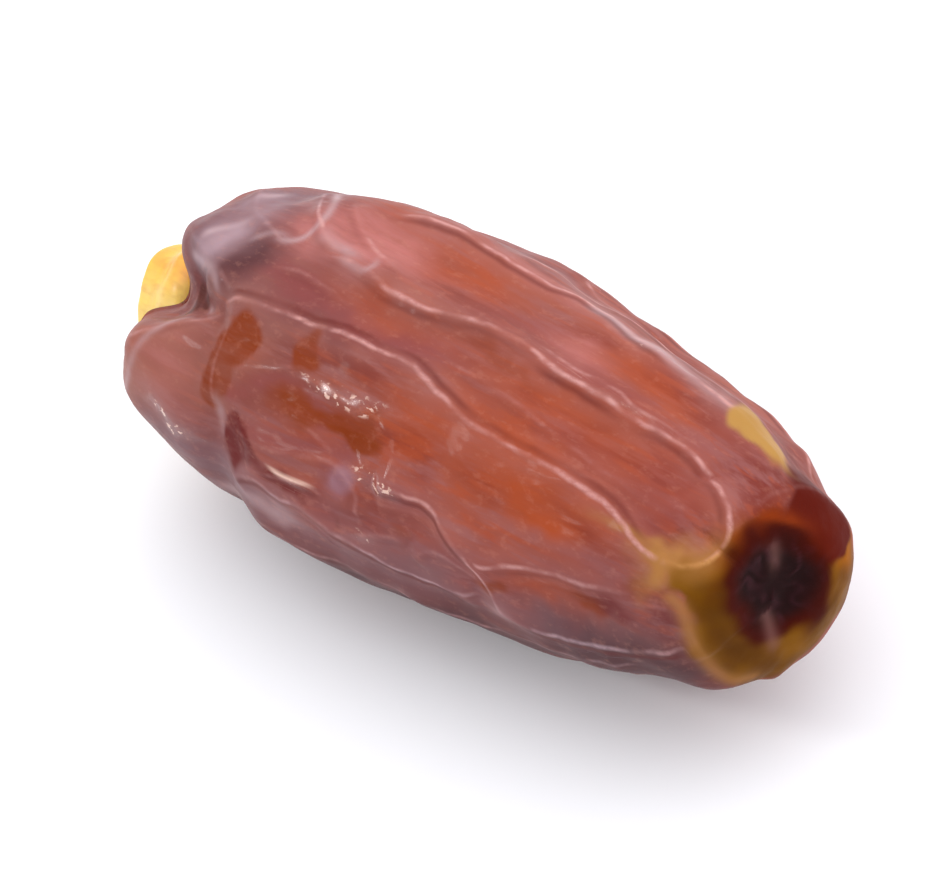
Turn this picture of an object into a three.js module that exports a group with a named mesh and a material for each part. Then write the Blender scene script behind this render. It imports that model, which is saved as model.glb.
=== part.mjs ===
// A dried mabroom date, lying on its side: the wrinkled fruit and the dry calyx in its stem end.
// Millimetres, +Z up. +X runs from the stem end to the tip. The origin is on the resting plane,
// under the middle of the whole date's box.
//
// A place on the fruit's skin is named by a station and an angle. The station is the distance in mm
// along the outline from the crest of the stem end's rim, negative inside the pit, about 54 at the
// tip. The angle goes round the fruit in degrees: 0 is the far side (+Y), 90 the top, 180 the near
// side (-Y) and 270 (or -90) the underside.

import * as THREE from 'three';
import { mergeVertices } from 'three/addons/utils/BufferGeometryUtils.js';

// Driving dimensions of the fruit
const LENGTH = 48;               // from the rim's plane to the tip, along the spine
const WIDER = 0.07;              // the section is wider than round by this share, and lower by it
const BEND_SIDE = [-1.7, -0.95]; // the spine's sideways bend: square and cube terms, mm at the ends
const BEND_UP = [1.85, 0.35];    // the same upward, so both ends lift off the surface
const REST_CUT = 0.55;           // depth that the resting spot is pressed flat
const RELIEF_SINK = 0.15;        // the panels between the ridges lie this far under the outline

// The outline, from the pit's floor over the rim to the tip: place along the spine and radius
const OUTLINE = [
  [3.6, 0], [3.55, 3.4], [3.1, 4.7], [2, 5.25], [0.8, 5.5], [0.2, 5.65], [0, 6], [0.5, 7.1], [2, 8.1],
  [5, 9.1], [10, 10.2], [18, 10.65], [27, 9.95], [35, 8.9], [41, 7.6], [45.4, 5.9], [47.4, 3.4], [48, 0],
];
const RIM_POINT = 6;             // the outline's point at the crest of the rim
const OUTLINE_STEPS = 1200;
const POLE_FADE = 1.5;           // the relief dies away over this distance from the pit's and tip's middle

// The notch: the stem end's rim is drawn back there between two lobes, in full at this angle, and less
// over so many degrees on the side of smaller and greater angle and down to this station
const NOTCH = { angle: 123, depth: 2.8, over: 20, under: 12, to: 9 };

// Facets: rings round the fruit, closer at the stem end's rim than along the body
const AROUND = 96;
const RING_SPANS = [
  { to: -0.9, step: 1.13 }, { to: 5, step: 0.85 }, { to: 45, step: 1.25 }, { to: 54.1, step: 1.05 },
];

// Ridges of the skin: height of the crest, roundness of the crest, reach of its slopes on the sides
// of smaller and greater angle, the length over which it rises at its ends, and the crest's path as
// [station, angle] points
const RIDGES = {
  lowMain: { height: 0.44, round: 0.3, over: 2.2, under: 1.5, rise: 1.5, path: [[9, 116], [11.5, 112],
    [15, 110.5], [19, 109], [23.3, 108.4], [26, 110], [29, 115], [31, 116.5], [38.5, 117.2],
    [41.8, 118], [43.2, 121], [44.8, 126], [46.2, 129], [47.4, 129.5]] },
  archLow: { height: 0.42, round: 0.34, over: 1.3, under: 0.9, rise: 1.2, path: [[45.8, 128.5],
    [47.2, 129], [48.2, 126], [48.8, 119], [49, 110], [49, 103]] },
  archHigh: { height: 0.42, round: 0.34, over: 1.3, under: 0.9, rise: 1.5, path: [[49, 108], [48.9, 100],
    [48.3, 93], [47.3, 87.5], [46, 83.5], [44.5, 82]] },
  highMain: { height: 0.55, round: 0.3, over: 2.2, under: 0.8, rise: 2.5, path: [[13, 86],
    [15.7, 87.4], [20, 90], [22, 90.5], [24.5, 87.7], [26, 86], [29.2, 84.4], [32, 86.3],
    [36.7, 85.2], [39, 85.3], [41, 83], [44.8, 81.3], [46.6, 82]] },
  highTwin: { height: 0.24, round: 0.24, over: 0.6, under: 0.3, rise: 3, path: [[28, 80], [31, 82.2],
    [36, 81.4], [39, 81.2], [42, 79], [45.5, 77]] },
  top: { height: 0.48, round: 0.34, over: 2.0, under: 1.4, rise: 3, path: [[14, 60], [18, 56.5],
    [22.6, 55], [26, 54], [28.9, 50], [33, 52.5], [37.9, 52], [41, 50], [45, 48], [48, 50]] },
  topBack: { height: 0.34, round: 0.34, over: 1.8, under: 1.4, rise: 3, path: [[20, 42], [27, 40],
    [32, 38], [38, 40], [43, 38]] },
  faint: { height: 0.2, round: 0.5, over: 0.9, under: 0.9, rise: 4, path: [[25, 100], [30, 102.5],
    [33, 104], [35.7, 106], [38.5, 107.5], [41.7, 108], [46, 108]] },
  lowLobeLip: { height: 0.36, round: 0.42, over: 0.8, under: 1.4, rise: 3, path: [[1.2, 166], [1.8, 158],
    [2.6, 150], [3.8, 142], [5.2, 134], [7, 127], [8.6, 121.5], [10, 118]] },
  highLobeLip: { height: 0.32, round: 0.42, over: 1.6, under: 0.8, rise: 1.5, path: [[0, 80], [1.5, 90],
    [3.5, 98], [5.5, 102], [7.5, 106.5], [9.5, 112]] },
  lobeEdge: { height: 0.24, round: 0.42, over: 1.2, under: 1.2, rise: 1.5, path: [[10, 118],
    [10.8, 126], [10.9, 135], [11.2, 145], [11.6, 153]] },
  shoulderBack: { height: 0.36, round: 0.34, over: 1.8, under: 0.8, rise: 2, path: [[8, 52], [9, 60],
    [10.3, 70], [11.5, 77], [13, 82], [15.5, 85.5]] },
  shoulderFront: { height: 0.3, round: 0.38, over: 0.9, under: 0.9, rise: 2, path: [[3, 55],
    [4.5, 66], [6, 77], [8, 84], [11, 90]] },
  shoulderSwirl: { height: 0.34, round: 0.34, over: 1.0, under: 0.6, rise: 2, path: [[11.5, 60],
    [13, 68], [15, 75], [17, 80], [20, 84]] },
  shoulderPanel: { height: 0.24, round: 0.38, over: 0.8, under: 0.8, rise: 2, path: [[11, 98],
    [14, 97], [18, 99]] },
  nearLow: { height: 0.42, round: 0.3, over: 0.8, under: 1.8, rise: 1.5, path: [[13, 175],
    [14.7, 169], [16, 166.5], [17.6, 168], [20, 166.5], [21.6, 168.5], [23.4, 172], [25.5, 175],
    [28, 178.5], [31, 179], [34, 177]] },
  nearLowTwin: { height: 0.3, round: 0.26, over: 0.8, under: 0.4, rise: 1.2, path: [[14.8, 167],
    [16.3, 163], [18.3, 159.5], [20.8, 158.5], [22, 160]] },
  nearFold: { height: 0.3, round: 0.38, over: 0.4, under: 1.2, rise: 1.5, path: [[13.5, 153],
    [16, 152], [18, 151], [20, 148.5], [21.8, 146], [23.3, 149], [24.3, 155], [24.2, 161], [25, 167]] },
  nearBend: { height: 0.46, round: 0.3, over: 1.6, under: 0.8, rise: 1.5, path: [[25, 148], [28, 147],
    [29.3, 146.5], [30.4, 148], [31.3, 151.5], [32.4, 155], [33.5, 159.5], [34.6, 166], [35.1, 174],
    [35.8, 181], [38, 184], [42, 184], [46, 183], [49, 180]] },
  nearTip: { height: 0.34, round: 0.3, over: 1.3, under: 0.8, rise: 1.5, path: [[33, 158],
    [34.8, 160], [36.2, 157.5], [38, 155], [40, 154], [42.5, 152.5], [46, 151]] },
  nearTipTwin: { height: 0.22, round: 0.26, over: 0.4, under: 0.5, rise: 2, path: [[37.5, 160],
    [40, 158], [43, 156.5], [46, 154.5], [48.5, 151]] },
  nearBulge: { height: 0.3, round: 0.38, over: 0.5, under: 1.3, rise: 1.2, path: [[28.6, 172],
    [29.6, 166], [30.8, 162.5], [32, 163], [33.2, 166], [34.4, 171]] },
  nearNet: { height: 0.24, round: 0.26, over: 0.5, under: 0.5, rise: 1, path: [[23, 172],
    [24.4, 169], [25.6, 167], [27.2, 164], [29, 163]] },
  nearHem: { height: 0.4, round: 0.42, over: 1.6, under: 1.6, rise: 3, path: [[13, 196], [17, 192],
    [21, 190], [25, 191], [29, 196], [34, 199], [40, 197], [46, 195]] },
  nearCross: { height: 0.22, round: 0.34, over: 0.6, under: 0.6, rise: 1.2, path: [[25.2, 154.5],
    [27, 153.5], [29, 152], [30.3, 154], [30.6, 160]] },
  cheekHigh: { height: 0.24, round: 0.42, over: 0.8, under: 0.8, rise: 1.5, path: [[12, 134],
    [14, 131], [16, 126], [17.5, 124], [21, 127], [24, 132]] },
  cheekLow: { height: 0.22, round: 0.42, over: 0.7, under: 0.7, rise: 1.5, path: [[17, 142],
    [19, 139], [21, 141], [22.8, 145]] },
  tipRim: { height: 0.3, round: 0.38, over: 0.9, under: 0.7, rise: 1.5, path: [[46.4, 131],
    [47, 138], [48, 144], [48.7, 151], [49.1, 163], [49.3, 180], [49.4, 198]] },
  tipRimFar: { height: 0.3, round: 0.42, over: 0.9, under: 0.7, rise: 1.5, path: [[48.4, 95],
    [48, 75], [47.6, 55], [47.4, 35], [47.8, 15], [48.2, -10], [48, -40], [48, -75], [48.6, -110]] },
  farHigh: { height: 0.6, round: 0.34, over: 1.8, under: 1.4, rise: 3, path: [[8, 20], [13, 15],
    [19, 17], [24, 22], [29, 20], [34, 14], [40, 12], [46, 14]] },
  farMiddle: { height: 0.5, round: 0.34, over: 1.4, under: 2.0, rise: 3, path: [[10, -14], [15, -8],
    [20, -4], [25, -7], [31, -13], [37, -12], [43, -9]] },
  farFork: { height: 0.45, round: 0.34, over: 1.6, under: 1.6, rise: 2, path: [[15, -8], [19, -17],
    [24, -24], [30, -29], [36, -27], [42, -30], [47, -32]] },
  farLow: { height: 0.42, round: 0.34, over: 1.8, under: 1.4, rise: 3, path: [[6, -38], [11, -36],
    [16, -43], [21, -50], [27, -50], [33, -47]] },
  farBranch: { height: 0.3, round: 0.34, over: 0.7, under: 0.7, rise: 2, path: [[24, 22], [26, 29],
    [28, 34], [31, 38]] },
  farCross: { height: 0.28, round: 0.34, over: 0.7, under: 0.7, rise: 2, path: [[31, -13], [33, -4],
    [35, 4], [38, 11]] },
  underFar: { height: 0.4, round: 0.42, over: 1.8, under: 1.8, rise: 4, path: [[9, -75], [16, -70],
    [24, -72], [32, -68], [40, -66], [46, -70]] },
  underMiddle: { height: 0.4, round: 0.42, over: 1.8, under: 1.8, rise: 4, path: [[10, -105],
    [18, -102], [26, -108], [34, -104], [42, -108]] },
  underNear: { height: 0.42, round: 0.42, over: 1.8, under: 1.8, rise: 4, path: [[8, -136],
    [14, -132], [21, -136], [29, -138], [38, -134], [45, -136]] },
};
const PATH_STEP = 0.5;           // spacing of the smoothed points of a ridge's path
const DEGREE_MM = 0.16;          // about a degree's width in mm, for measuring along a path
const JOIN_POWER = 3;            // ridges that meet blend by the sum of this power

// Soft hollows, and swellings where the depth is negative: station, angle, half length along the
// fruit, half width round it, depth
const HOLLOWS = {
  notch: [[6.6, 121, 2.4, 1.1, 1.3], [4.4, 113, 1.5, 1, 0.7], [2.5, 122, 2.2, 2, 0.7]],
  lobeWaist: [[12, 163, 1.7, 4, 0.65], [12, 195, 1.6, 4, 0.5], [14.2, 161, 1.3, 1.6, 0.35]],
  upperPanels: [[18, 100, 8, 2.4, 0.4], [34, 95, 10, 1.8, 0.34], [34, 111, 9, 1.2, 0.12],
    [38, 67, 9, 2.4, 0.4], [24, 70, 5, 2.2, 0.3], [15.5, 72, 2.4, 2, 0.25], [9, 45, 3, 3, 0.3]],
  nearPanels: [[36, 133, 7, 3, 0.3], [20, 122, 4, 2, 0.15], [23, 137, 1.7, 2, 0.3],
    [9.6, 132, 1.6, 3, 0.25], [22, 182, 6, 1.8, 0.3], [42, 170, 6, 2, 0.5], [28, 158, 2.4, 1.5, 0.3],
    [31, 187, 4, 2, 0.25]],
  nearSwells: [[22.5, 154, 1.3, 1.6, -0.3], [26.3, 147, 1.8, 1.4, -0.22], [7, 158, 3, 5, -0.35],
    [3, 165, 2.5, 3, -0.68]],
  shoulder: [[12.5, 53, 4.8, 3.5, -0.68]],
  pit: [[-2.2, -90, 2.8, 4.2, 1.3]],
  rim: [[1, 148, 1.8, 2.6, 0.6], [1.2, 83, 1.6, 1.5, 0.3], [0, 97, 1.5, 2, -0.3],
    [2.5, 20, 2.5, 3.5, 0.4], [2.5, -60, 2.5, 4, 0.4]],
  tip: [[49.5, 0, 3, 3.8, -0.8], [50.5, 60, 2, 3, 0.12], [48.8, -70, 2.5, 3.4, -0.65],
    [48.4, -130, 2.5, 3.4, -0.75]],
  farPanels: [[30, 2, 8, 2.2, 0.35], [18, 5, 4, 2.2, 0.3], [38, 27, 6, 2.2, 0.35],
    [14, 32, 4, 2.4, 0.3], [24, -36, 8, 2.2, 0.3], [40, -20, 5, 1.8, 0.25]],
  farEdge: [[28, 34, 5, 2.3, 0.6], [34, 22, 3, 2.3, 0.4], [45.8, 23, 2.6, 2.2, 0.4]],
  underside: [[26, -90, 10, 3.4, -0.5], [26, -124, 9, 2.3, 0.3]],
};

// Gentle waves of the whole skin: height, waves round the fruit, length of a wave along it, phase
const WAVES = [
  { height: 0.07, around: 5, length: 19, phase: 40 }, { height: 0.06, around: -7, length: 13, phase: 210 },
  { height: 0.05, around: 11, length: 17, phase: 95 }, { height: 0.04, around: -13, length: 9, phase: 300 },
];
const WAVES_FULL_RADIUS = 8;

// Driving dimensions of the calyx, a stout cup on its own axis, seated in the pit
const SEAT_IN = 2.2;             // its seat lies this far inside the rim's plane
const SEAT_DROP = 0.75;          // and this far below the spine
const CALYX_LEAN = 19;           // its outer end leans down by this angle
const CALYX_LOWER = 0.05;        // its section is lower than round by this share
const CALYX_OUTLINE = [          // place outward from the seat, and radius
  [0, 0], [0, 2.6], [0.35, 3.6], [0.9, 4.2], [1.6, 4.4], [2.4, 4.35], [3.2, 4.05], [4, 3.9], [4.6, 3.95],
  [5.1, 3.9], [5.3, 3.4], [5, 2.7], [4.4, 2], [3.9, 1.4], [3.9, 1], [4.3, 0.8], [4.4, 0.4], [4.4, 0],
];
const CALYX_RINGS = 20;
const CALYX_AROUND = 36;
const LOBES = 3;
const SKIRT = { at: 1.6, reach: 1.5, wider: 0.1, wave: 0.2, turn: 90 };    // the lobed skirt in the pit
const LIP = { at: 4.9, reach: 0.9, wider: 0.04, wave: 0.3, turn: 105 };     // the lobed outer lip

const FRUIT_COLOUR = '#a3503c';
const CALYX_COLOUR = '#f0bd55';

const radians = THREE.MathUtils.degToRad;

function smoothPath(points, steps) {
  const corners = points.map(([a, b]) => new THREE.Vector3(a, b, 0));
  return new THREE.CatmullRomCurve3(corners, false, 'centripetal').getPoints(steps);
}

// The outline as a table of stations, with the place along the spine and the radius at each
function measuredOutline() {
  const table = smoothPath(OUTLINE, OUTLINE_STEPS).map((p) => ({ along: p.x, radius: Math.max(p.y, 0) }));
  table[0].station = 0;
  for (let i = 1; i < table.length; i++) {
    const step = Math.hypot(table[i].along - table[i - 1].along, table[i].radius - table[i - 1].radius);
    table[i].station = table[i - 1].station + step;
  }
  const rim = table[Math.round((RIM_POINT / (OUTLINE.length - 1)) * OUTLINE_STEPS)].station;
  for (const row of table) {
    row.station -= rim;
  }
  return table;
}

const FORM = measuredOutline();
const PIT_END = FORM[0].station;
const TIP_END = FORM[FORM.length - 1].station;

function formAt(station) {
  let low = 0;
  let high = FORM.length - 1;
  while (high - low > 1) {
    const middle = (low + high) >> 1;
    if (FORM[middle].station <= station) {
      low = middle;
    } else {
      high = middle;
    }
  }
  const share = THREE.MathUtils.inverseLerp(FORM[low].station, FORM[high].station, station);
  return {
    along: THREE.MathUtils.lerp(FORM[low].along, FORM[high].along, share),
    radius: THREE.MathUtils.lerp(FORM[low].radius, FORM[high].radius, share),
  };
}

// The spine's point at a place along it, with the sideways and the upward direction there
function spineAt(along) {
  const q = (along / LENGTH) * 2 - 1;
  const point = new THREE.Vector3(along - LENGTH / 2, BEND_SIDE[0] * q ** 2 + BEND_SIDE[1] * q ** 3,
    BEND_UP[0] * q ** 2 + BEND_UP[1] * q ** 3);
  const slope = (bend) => ((2 * bend[0] * q + 3 * bend[1] * q ** 2) * 2) / LENGTH;
  const forward = new THREE.Vector3(1, slope(BEND_SIDE), slope(BEND_UP)).normalize();
  const side = new THREE.Vector3(0, 0, 1).cross(forward).normalize();
  const up = new THREE.Vector3().crossVectors(forward, side);
  return { point, forward, side, up };
}

const angleBetween = (angle, other) => THREE.MathUtils.euclideanModulo(angle - other + 180, 360) - 180;

// How far the notch draws a place back along the spine
function drawnBack(station, angle, radius) {
  const off = angleBetween(angle, NOTCH.angle);
  const round = Math.exp(-((off / (off > 0 ? NOTCH.under : NOTCH.over)) ** 2));
  const inside = Math.min(radius / OUTLINE[RIM_POINT][1], 1) ** 2;
  return NOTCH.depth * round * inside * (1 - THREE.MathUtils.smoothstep(station, 0, NOTCH.to));
}

function barePoint(station, angle) {
  const { along, radius } = formAt(station);
  const { point, side, up } = spineAt(along + drawnBack(station, angle, radius));
  const turn = radians(angle);
  return point.addScaledVector(side, radius * Math.cos(turn) * (1 + WIDER))
    .addScaledVector(up, radius * Math.sin(turn) * (1 - WIDER));
}

// Outward direction of the bare form
function bareNormal(station, angle) {
  const step = 0.02;
  const from = THREE.MathUtils.clamp(station, PIT_END + 2 * step, TIP_END - 2 * step);
  const along = barePoint(from + step, angle).sub(barePoint(from - step, angle));
  const round = barePoint(from, angle + 1).sub(barePoint(from, angle - 1));
  return round.cross(along).normalize();
}

function measuredPath(ridge) {
  const rough = ridge.path.slice(1).reduce((sum, [station, angle], i) => sum
    + Math.hypot(station - ridge.path[i][0], (angle - ridge.path[i][1]) * DEGREE_MM), 0);
  const points = smoothPath(ridge.path, Math.round(rough / PATH_STEP) + 4);
  let travelled = 0;
  const places = points.map((p, i) => {
    if (i > 0) {
      travelled += Math.hypot(p.x - points[i - 1].x, (p.y - points[i - 1].y) * DEGREE_MM);
    }
    return { station: p.x, angle: p.y, travelled };
  });
  return { ...ridge, places, total: travelled };
}

const CRESTS = Object.values(RIDGES).map(measuredPath);
const ALL_HOLLOWS = Object.values(HOLLOWS).flat();

// Height that one ridge adds at a place on the skin, from its distance to the crest's path
function ridgeHeight(crest, station, angle, radius) {
  const mm = radians(1) * radius;
  let nearest = Infinity;
  let sideOf = 0;
  let place = 0;
  for (let i = 1; i < crest.places.length; i++) {
    const a = crest.places[i - 1];
    const b = crest.places[i];
    const toPoint = [station - a.station, angleBetween(angle, a.angle) * mm];
    const segment = [b.station - a.station, (b.angle - a.angle) * mm];
    const square = segment[0] ** 2 + segment[1] ** 2 + 1e-9;
    const share = THREE.MathUtils.clamp((toPoint[0] * segment[0] + toPoint[1] * segment[1]) / square, 0, 1);
    const off = [toPoint[0] - share * segment[0], toPoint[1] - share * segment[1]];
    const distance = Math.hypot(...off);
    if (distance < nearest) {
      nearest = distance;
      sideOf = segment[0] * off[1] - segment[1] * off[0];
      place = THREE.MathUtils.lerp(a.travelled, b.travelled, share);
    }
  }
  const rise = THREE.MathUtils.smoothstep(Math.min(place, crest.total - place), 0, crest.rise);
  const reach = sideOf > 0 ? crest.under : crest.over;
  const fall = (Math.sqrt(nearest ** 2 + crest.round ** 2) - crest.round) / reach;
  return crest.height * rise * Math.exp(-fall);
}

function hollowDepth([at, angleAt, halfLength, halfWidth, depth], station, angle, radius) {
  const across = angleBetween(angle, angleAt) * radians(1) * radius;
  return depth * Math.exp(-(((station - at) / halfLength) ** 2) - (across / halfWidth) ** 2);
}

// The waves flatten out towards the narrow ends
function waveHeight({ height, around, length, phase }, station, angle, radius) {
  const width = Math.min(radius / WAVES_FULL_RADIUS, 1);
  return height * width ** 2 * Math.cos(radians(around * angle + (360 * station) / length + phase));
}

function relief(station, angle) {
  const radius = Math.max(formAt(station).radius, 1);
  const joined = CRESTS.reduce((sum, crest) => (
    sum + ridgeHeight(crest, station, angle, radius) ** JOIN_POWER), 0);
  const sunk = ALL_HOLLOWS.reduce((sum, hollow) => sum + hollowDepth(hollow, station, angle, radius), 0);
  const waves = WAVES.reduce((sum, wave) => sum + waveHeight(wave, station, angle, radius), 0);
  const fade = THREE.MathUtils.smoothstep(Math.min(station - PIT_END, TIP_END - station), 0, POLE_FADE);
  return fade * (joined ** (1 / JOIN_POWER) - sunk + waves - RELIEF_SINK);
}

function skinPoint(station, angle) {
  return barePoint(station, angle).addScaledVector(bareNormal(station, angle), relief(station, angle));
}

function ringStations() {
  const rings = [PIT_END];
  for (const { to, step } of RING_SPANS) {
    const from = rings[rings.length - 1];
    const end = Math.min(to, TIP_END);
    const count = Math.round((end - from) / step);
    for (let i = 1; i <= count; i++) {
      rings.push(from + ((end - from) * i) / count);
    }
  }
  return rings;
}

// A lathe whose rings are carried to the places that place(ring, angle) gives. The first and the last
// ring are single points, so the body closes there.
function carriedLathe(rings, around, place) {
  const outline = rings.map((ring, i) => new THREE.Vector2(i === 0 || i === rings.length - 1 ? 0 : 1, i));
  const lathe = new THREE.LatheGeometry(outline, around);
  const position = lathe.getAttribute('position');
  for (let turn = 0; turn <= around; turn++) {
    const angle = (360 * (turn % around)) / around;
    rings.forEach((ring, i) => {
      const point = place(ring, i === 0 || i === rings.length - 1 ? 0 : angle);
      position.setXYZ(turn * rings.length + i, point.x, point.y, point.z);
    });
  }
  return closed(lathe);
}

// Joins the vertices along the seam and at the poles, and drops the triangles that this empties
function closed(geometry) {
  geometry.deleteAttribute('normal');
  geometry.deleteAttribute('uv');
  const joined = mergeVertices(geometry, 1e-4);
  const index = joined.getIndex().array;
  const kept = [];
  for (let i = 0; i < index.length; i += 3) {
    const [a, b, c] = [index[i], index[i + 1], index[i + 2]];
    if (a !== b && b !== c && a !== c) {
      kept.push(a, b, c);
    }
  }
  joined.setIndex(kept);
  joined.computeVertexNormals();
  return joined;
}

function fruitGeometry() {
  return carriedLathe(ringStations(), AROUND, skinPoint);
}

// Presses the lowest part of the fruit flat, where it rests
function pressFlat(geometry, depth) {
  geometry.computeBoundingBox();
  const plane = geometry.boundingBox.min.z + depth;
  const position = geometry.getAttribute('position');
  for (let i = 0; i < position.count; i++) {
    position.setZ(i, Math.max(position.getZ(i), plane));
  }
}

function calyxGeometry() {
  const seat = spineAt(0);
  const lean = radians(CALYX_LEAN);
  const outward = seat.forward.clone().multiplyScalar(-Math.cos(lean))
    .addScaledVector(seat.up, -Math.sin(lean));
  const up = seat.up.clone().multiplyScalar(Math.cos(lean)).addScaledVector(seat.forward, -Math.sin(lean));
  const base = seat.point.clone().addScaledVector(seat.forward, SEAT_IN);
  base.z -= SEAT_DROP;
  const place = ({ x: out, y: radius }, angle) => {
    const near = (band) => Math.exp(-(((out - band.at) / band.reach) ** 2));
    const lobe = (band) => near(band) * Math.cos(radians(LOBES * angle + band.turn));
    const wide = Math.max(radius, 0) * (1 + SKIRT.wider * lobe(SKIRT) + LIP.wider * lobe(LIP));
    const rim = Math.min(radius / LIP.at, 1);
    const far = out + rim * (SKIRT.wave * lobe(SKIRT) + LIP.wave * lobe(LIP));
    const turn = radians(angle);
    const high = wide * (1 - CALYX_LOWER);
    return base.clone().addScaledVector(outward, far)
      .addScaledVector(seat.side, wide * Math.cos(turn)).addScaledVector(up, high * Math.sin(turn));
  };
  const rings = new THREE.CatmullRomCurve3(CALYX_OUTLINE.map(([a, r]) => new THREE.Vector3(a, r, 0)),
    false, 'centripetal').getSpacedPoints(CALYX_RINGS);
  return carriedLathe(rings.reverse(), CALYX_AROUND, place);
}

const material = (color, roughness) => new THREE.MeshStandardMaterial({ color, roughness, metalness: 0 });

const fruit = new THREE.Mesh(fruitGeometry(), material(FRUIT_COLOUR, 0.35));
fruit.name = 'date_fruit';
pressFlat(fruit.geometry, REST_CUT);

const calyx = new THREE.Mesh(calyxGeometry(), material(CALYX_COLOUR, 0.4));
calyx.name = 'calyx_cap';

// The group is moved so that the origin lies on the resting plane, under the middle of the box
const group = new THREE.Group();
group.name = 'mabroom_date';
group.add(fruit, calyx);
const box = new THREE.Box3().setFromObject(group, true);
const middle = box.getCenter(new THREE.Vector3());
group.position.set(-middle.x, -middle.y, -box.min.z);

export default group;
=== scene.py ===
"""A dried mabroom date lying on a pale surface, with the dry calyx in its stem end.

Lengths are in millimetres until a mesh is made, then metres. A place on the fruit's skin is named by a
station and an angle. The station is the distance in mm along the outline from the crest of the stem
end's rim, negative inside the pit, about 54 at the tip. The angle goes round the fruit in degrees:
0 is the far side (+Y), 90 the top, 180 the near side (-Y) and 270 (or -90) the underside.
"""
import math
from collections import namedtuple

import bpy
import numpy as np
from mathutils import Matrix, Vector, noise


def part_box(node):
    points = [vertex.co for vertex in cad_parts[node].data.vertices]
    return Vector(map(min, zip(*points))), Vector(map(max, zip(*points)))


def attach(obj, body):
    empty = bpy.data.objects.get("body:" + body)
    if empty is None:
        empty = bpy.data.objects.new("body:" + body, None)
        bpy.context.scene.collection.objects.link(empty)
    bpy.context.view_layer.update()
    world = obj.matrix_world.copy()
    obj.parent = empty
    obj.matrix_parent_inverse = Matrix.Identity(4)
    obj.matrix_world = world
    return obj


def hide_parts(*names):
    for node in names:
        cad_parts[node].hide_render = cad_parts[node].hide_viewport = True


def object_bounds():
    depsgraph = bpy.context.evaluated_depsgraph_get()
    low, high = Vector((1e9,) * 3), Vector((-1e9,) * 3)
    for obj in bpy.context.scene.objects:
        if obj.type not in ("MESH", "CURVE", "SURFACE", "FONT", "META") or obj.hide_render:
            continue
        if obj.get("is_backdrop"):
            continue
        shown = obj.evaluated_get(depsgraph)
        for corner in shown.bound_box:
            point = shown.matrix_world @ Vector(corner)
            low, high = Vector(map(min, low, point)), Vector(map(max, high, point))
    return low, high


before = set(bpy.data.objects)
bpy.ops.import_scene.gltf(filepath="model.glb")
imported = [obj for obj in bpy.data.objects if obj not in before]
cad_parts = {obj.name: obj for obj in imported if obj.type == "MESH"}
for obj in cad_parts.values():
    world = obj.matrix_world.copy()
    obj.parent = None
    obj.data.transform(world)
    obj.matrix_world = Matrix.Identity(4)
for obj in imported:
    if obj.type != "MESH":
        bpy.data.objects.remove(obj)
CAD_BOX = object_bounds()

MM = 0.001

# Driving dimensions of the fruit, the same as in the solids
LENGTH = 48.0  # from the rim's plane to the tip, along the spine
WIDER = 0.07  # the section is wider than round by this share, and lower by it
BEND_SIDE = (-1.7, -0.95)  # the spine's sideways bend: square and cube terms, mm at the ends
BEND_UP = (1.85, 0.35)  # the same upward, so both ends lift off the surface
REST_CUT = 0.55  # depth that the resting spot is pressed flat
RELIEF_SINK = 0.15  # the panels between the ridges lie this far under the outline

# The outline, from the pit's floor over the rim to the tip: place along the spine and radius
OUTLINE = [
    (3.6, 0), (3.55, 3.4), (3.1, 4.7), (2, 5.25), (0.8, 5.5), (0.2, 5.65), (0, 6), (0.5, 7.1), (2, 8.1),
    (5, 9.1), (10, 10.2), (18, 10.65), (27, 9.95), (35, 8.9), (41, 7.6), (45.4, 5.9), (47.4, 3.4), (48, 0),
]
RIM_POINT = 6  # the outline's point at the crest of the rim
OUTLINE_STEPS = 1200
POLE_FADE = 1.5  # the relief dies away over this distance from the pit's and tip's middle

# The fine mesh: rings along the fruit and points round it, about 0.2 mm apart, and closer together by
# up to the share round this angle, on the side that faces up and near
RINGS = 300
AROUND = 330
CLOSER = dict(share=0.35, angle=130)

# The notch: the stem end's rim is drawn back there between two lobes, in full at this angle, and less
# over so many degrees on the side of smaller and greater angle and down to this station
NOTCH = dict(angle=123, depth=2.8, over=20, under=12, to=9)

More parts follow.
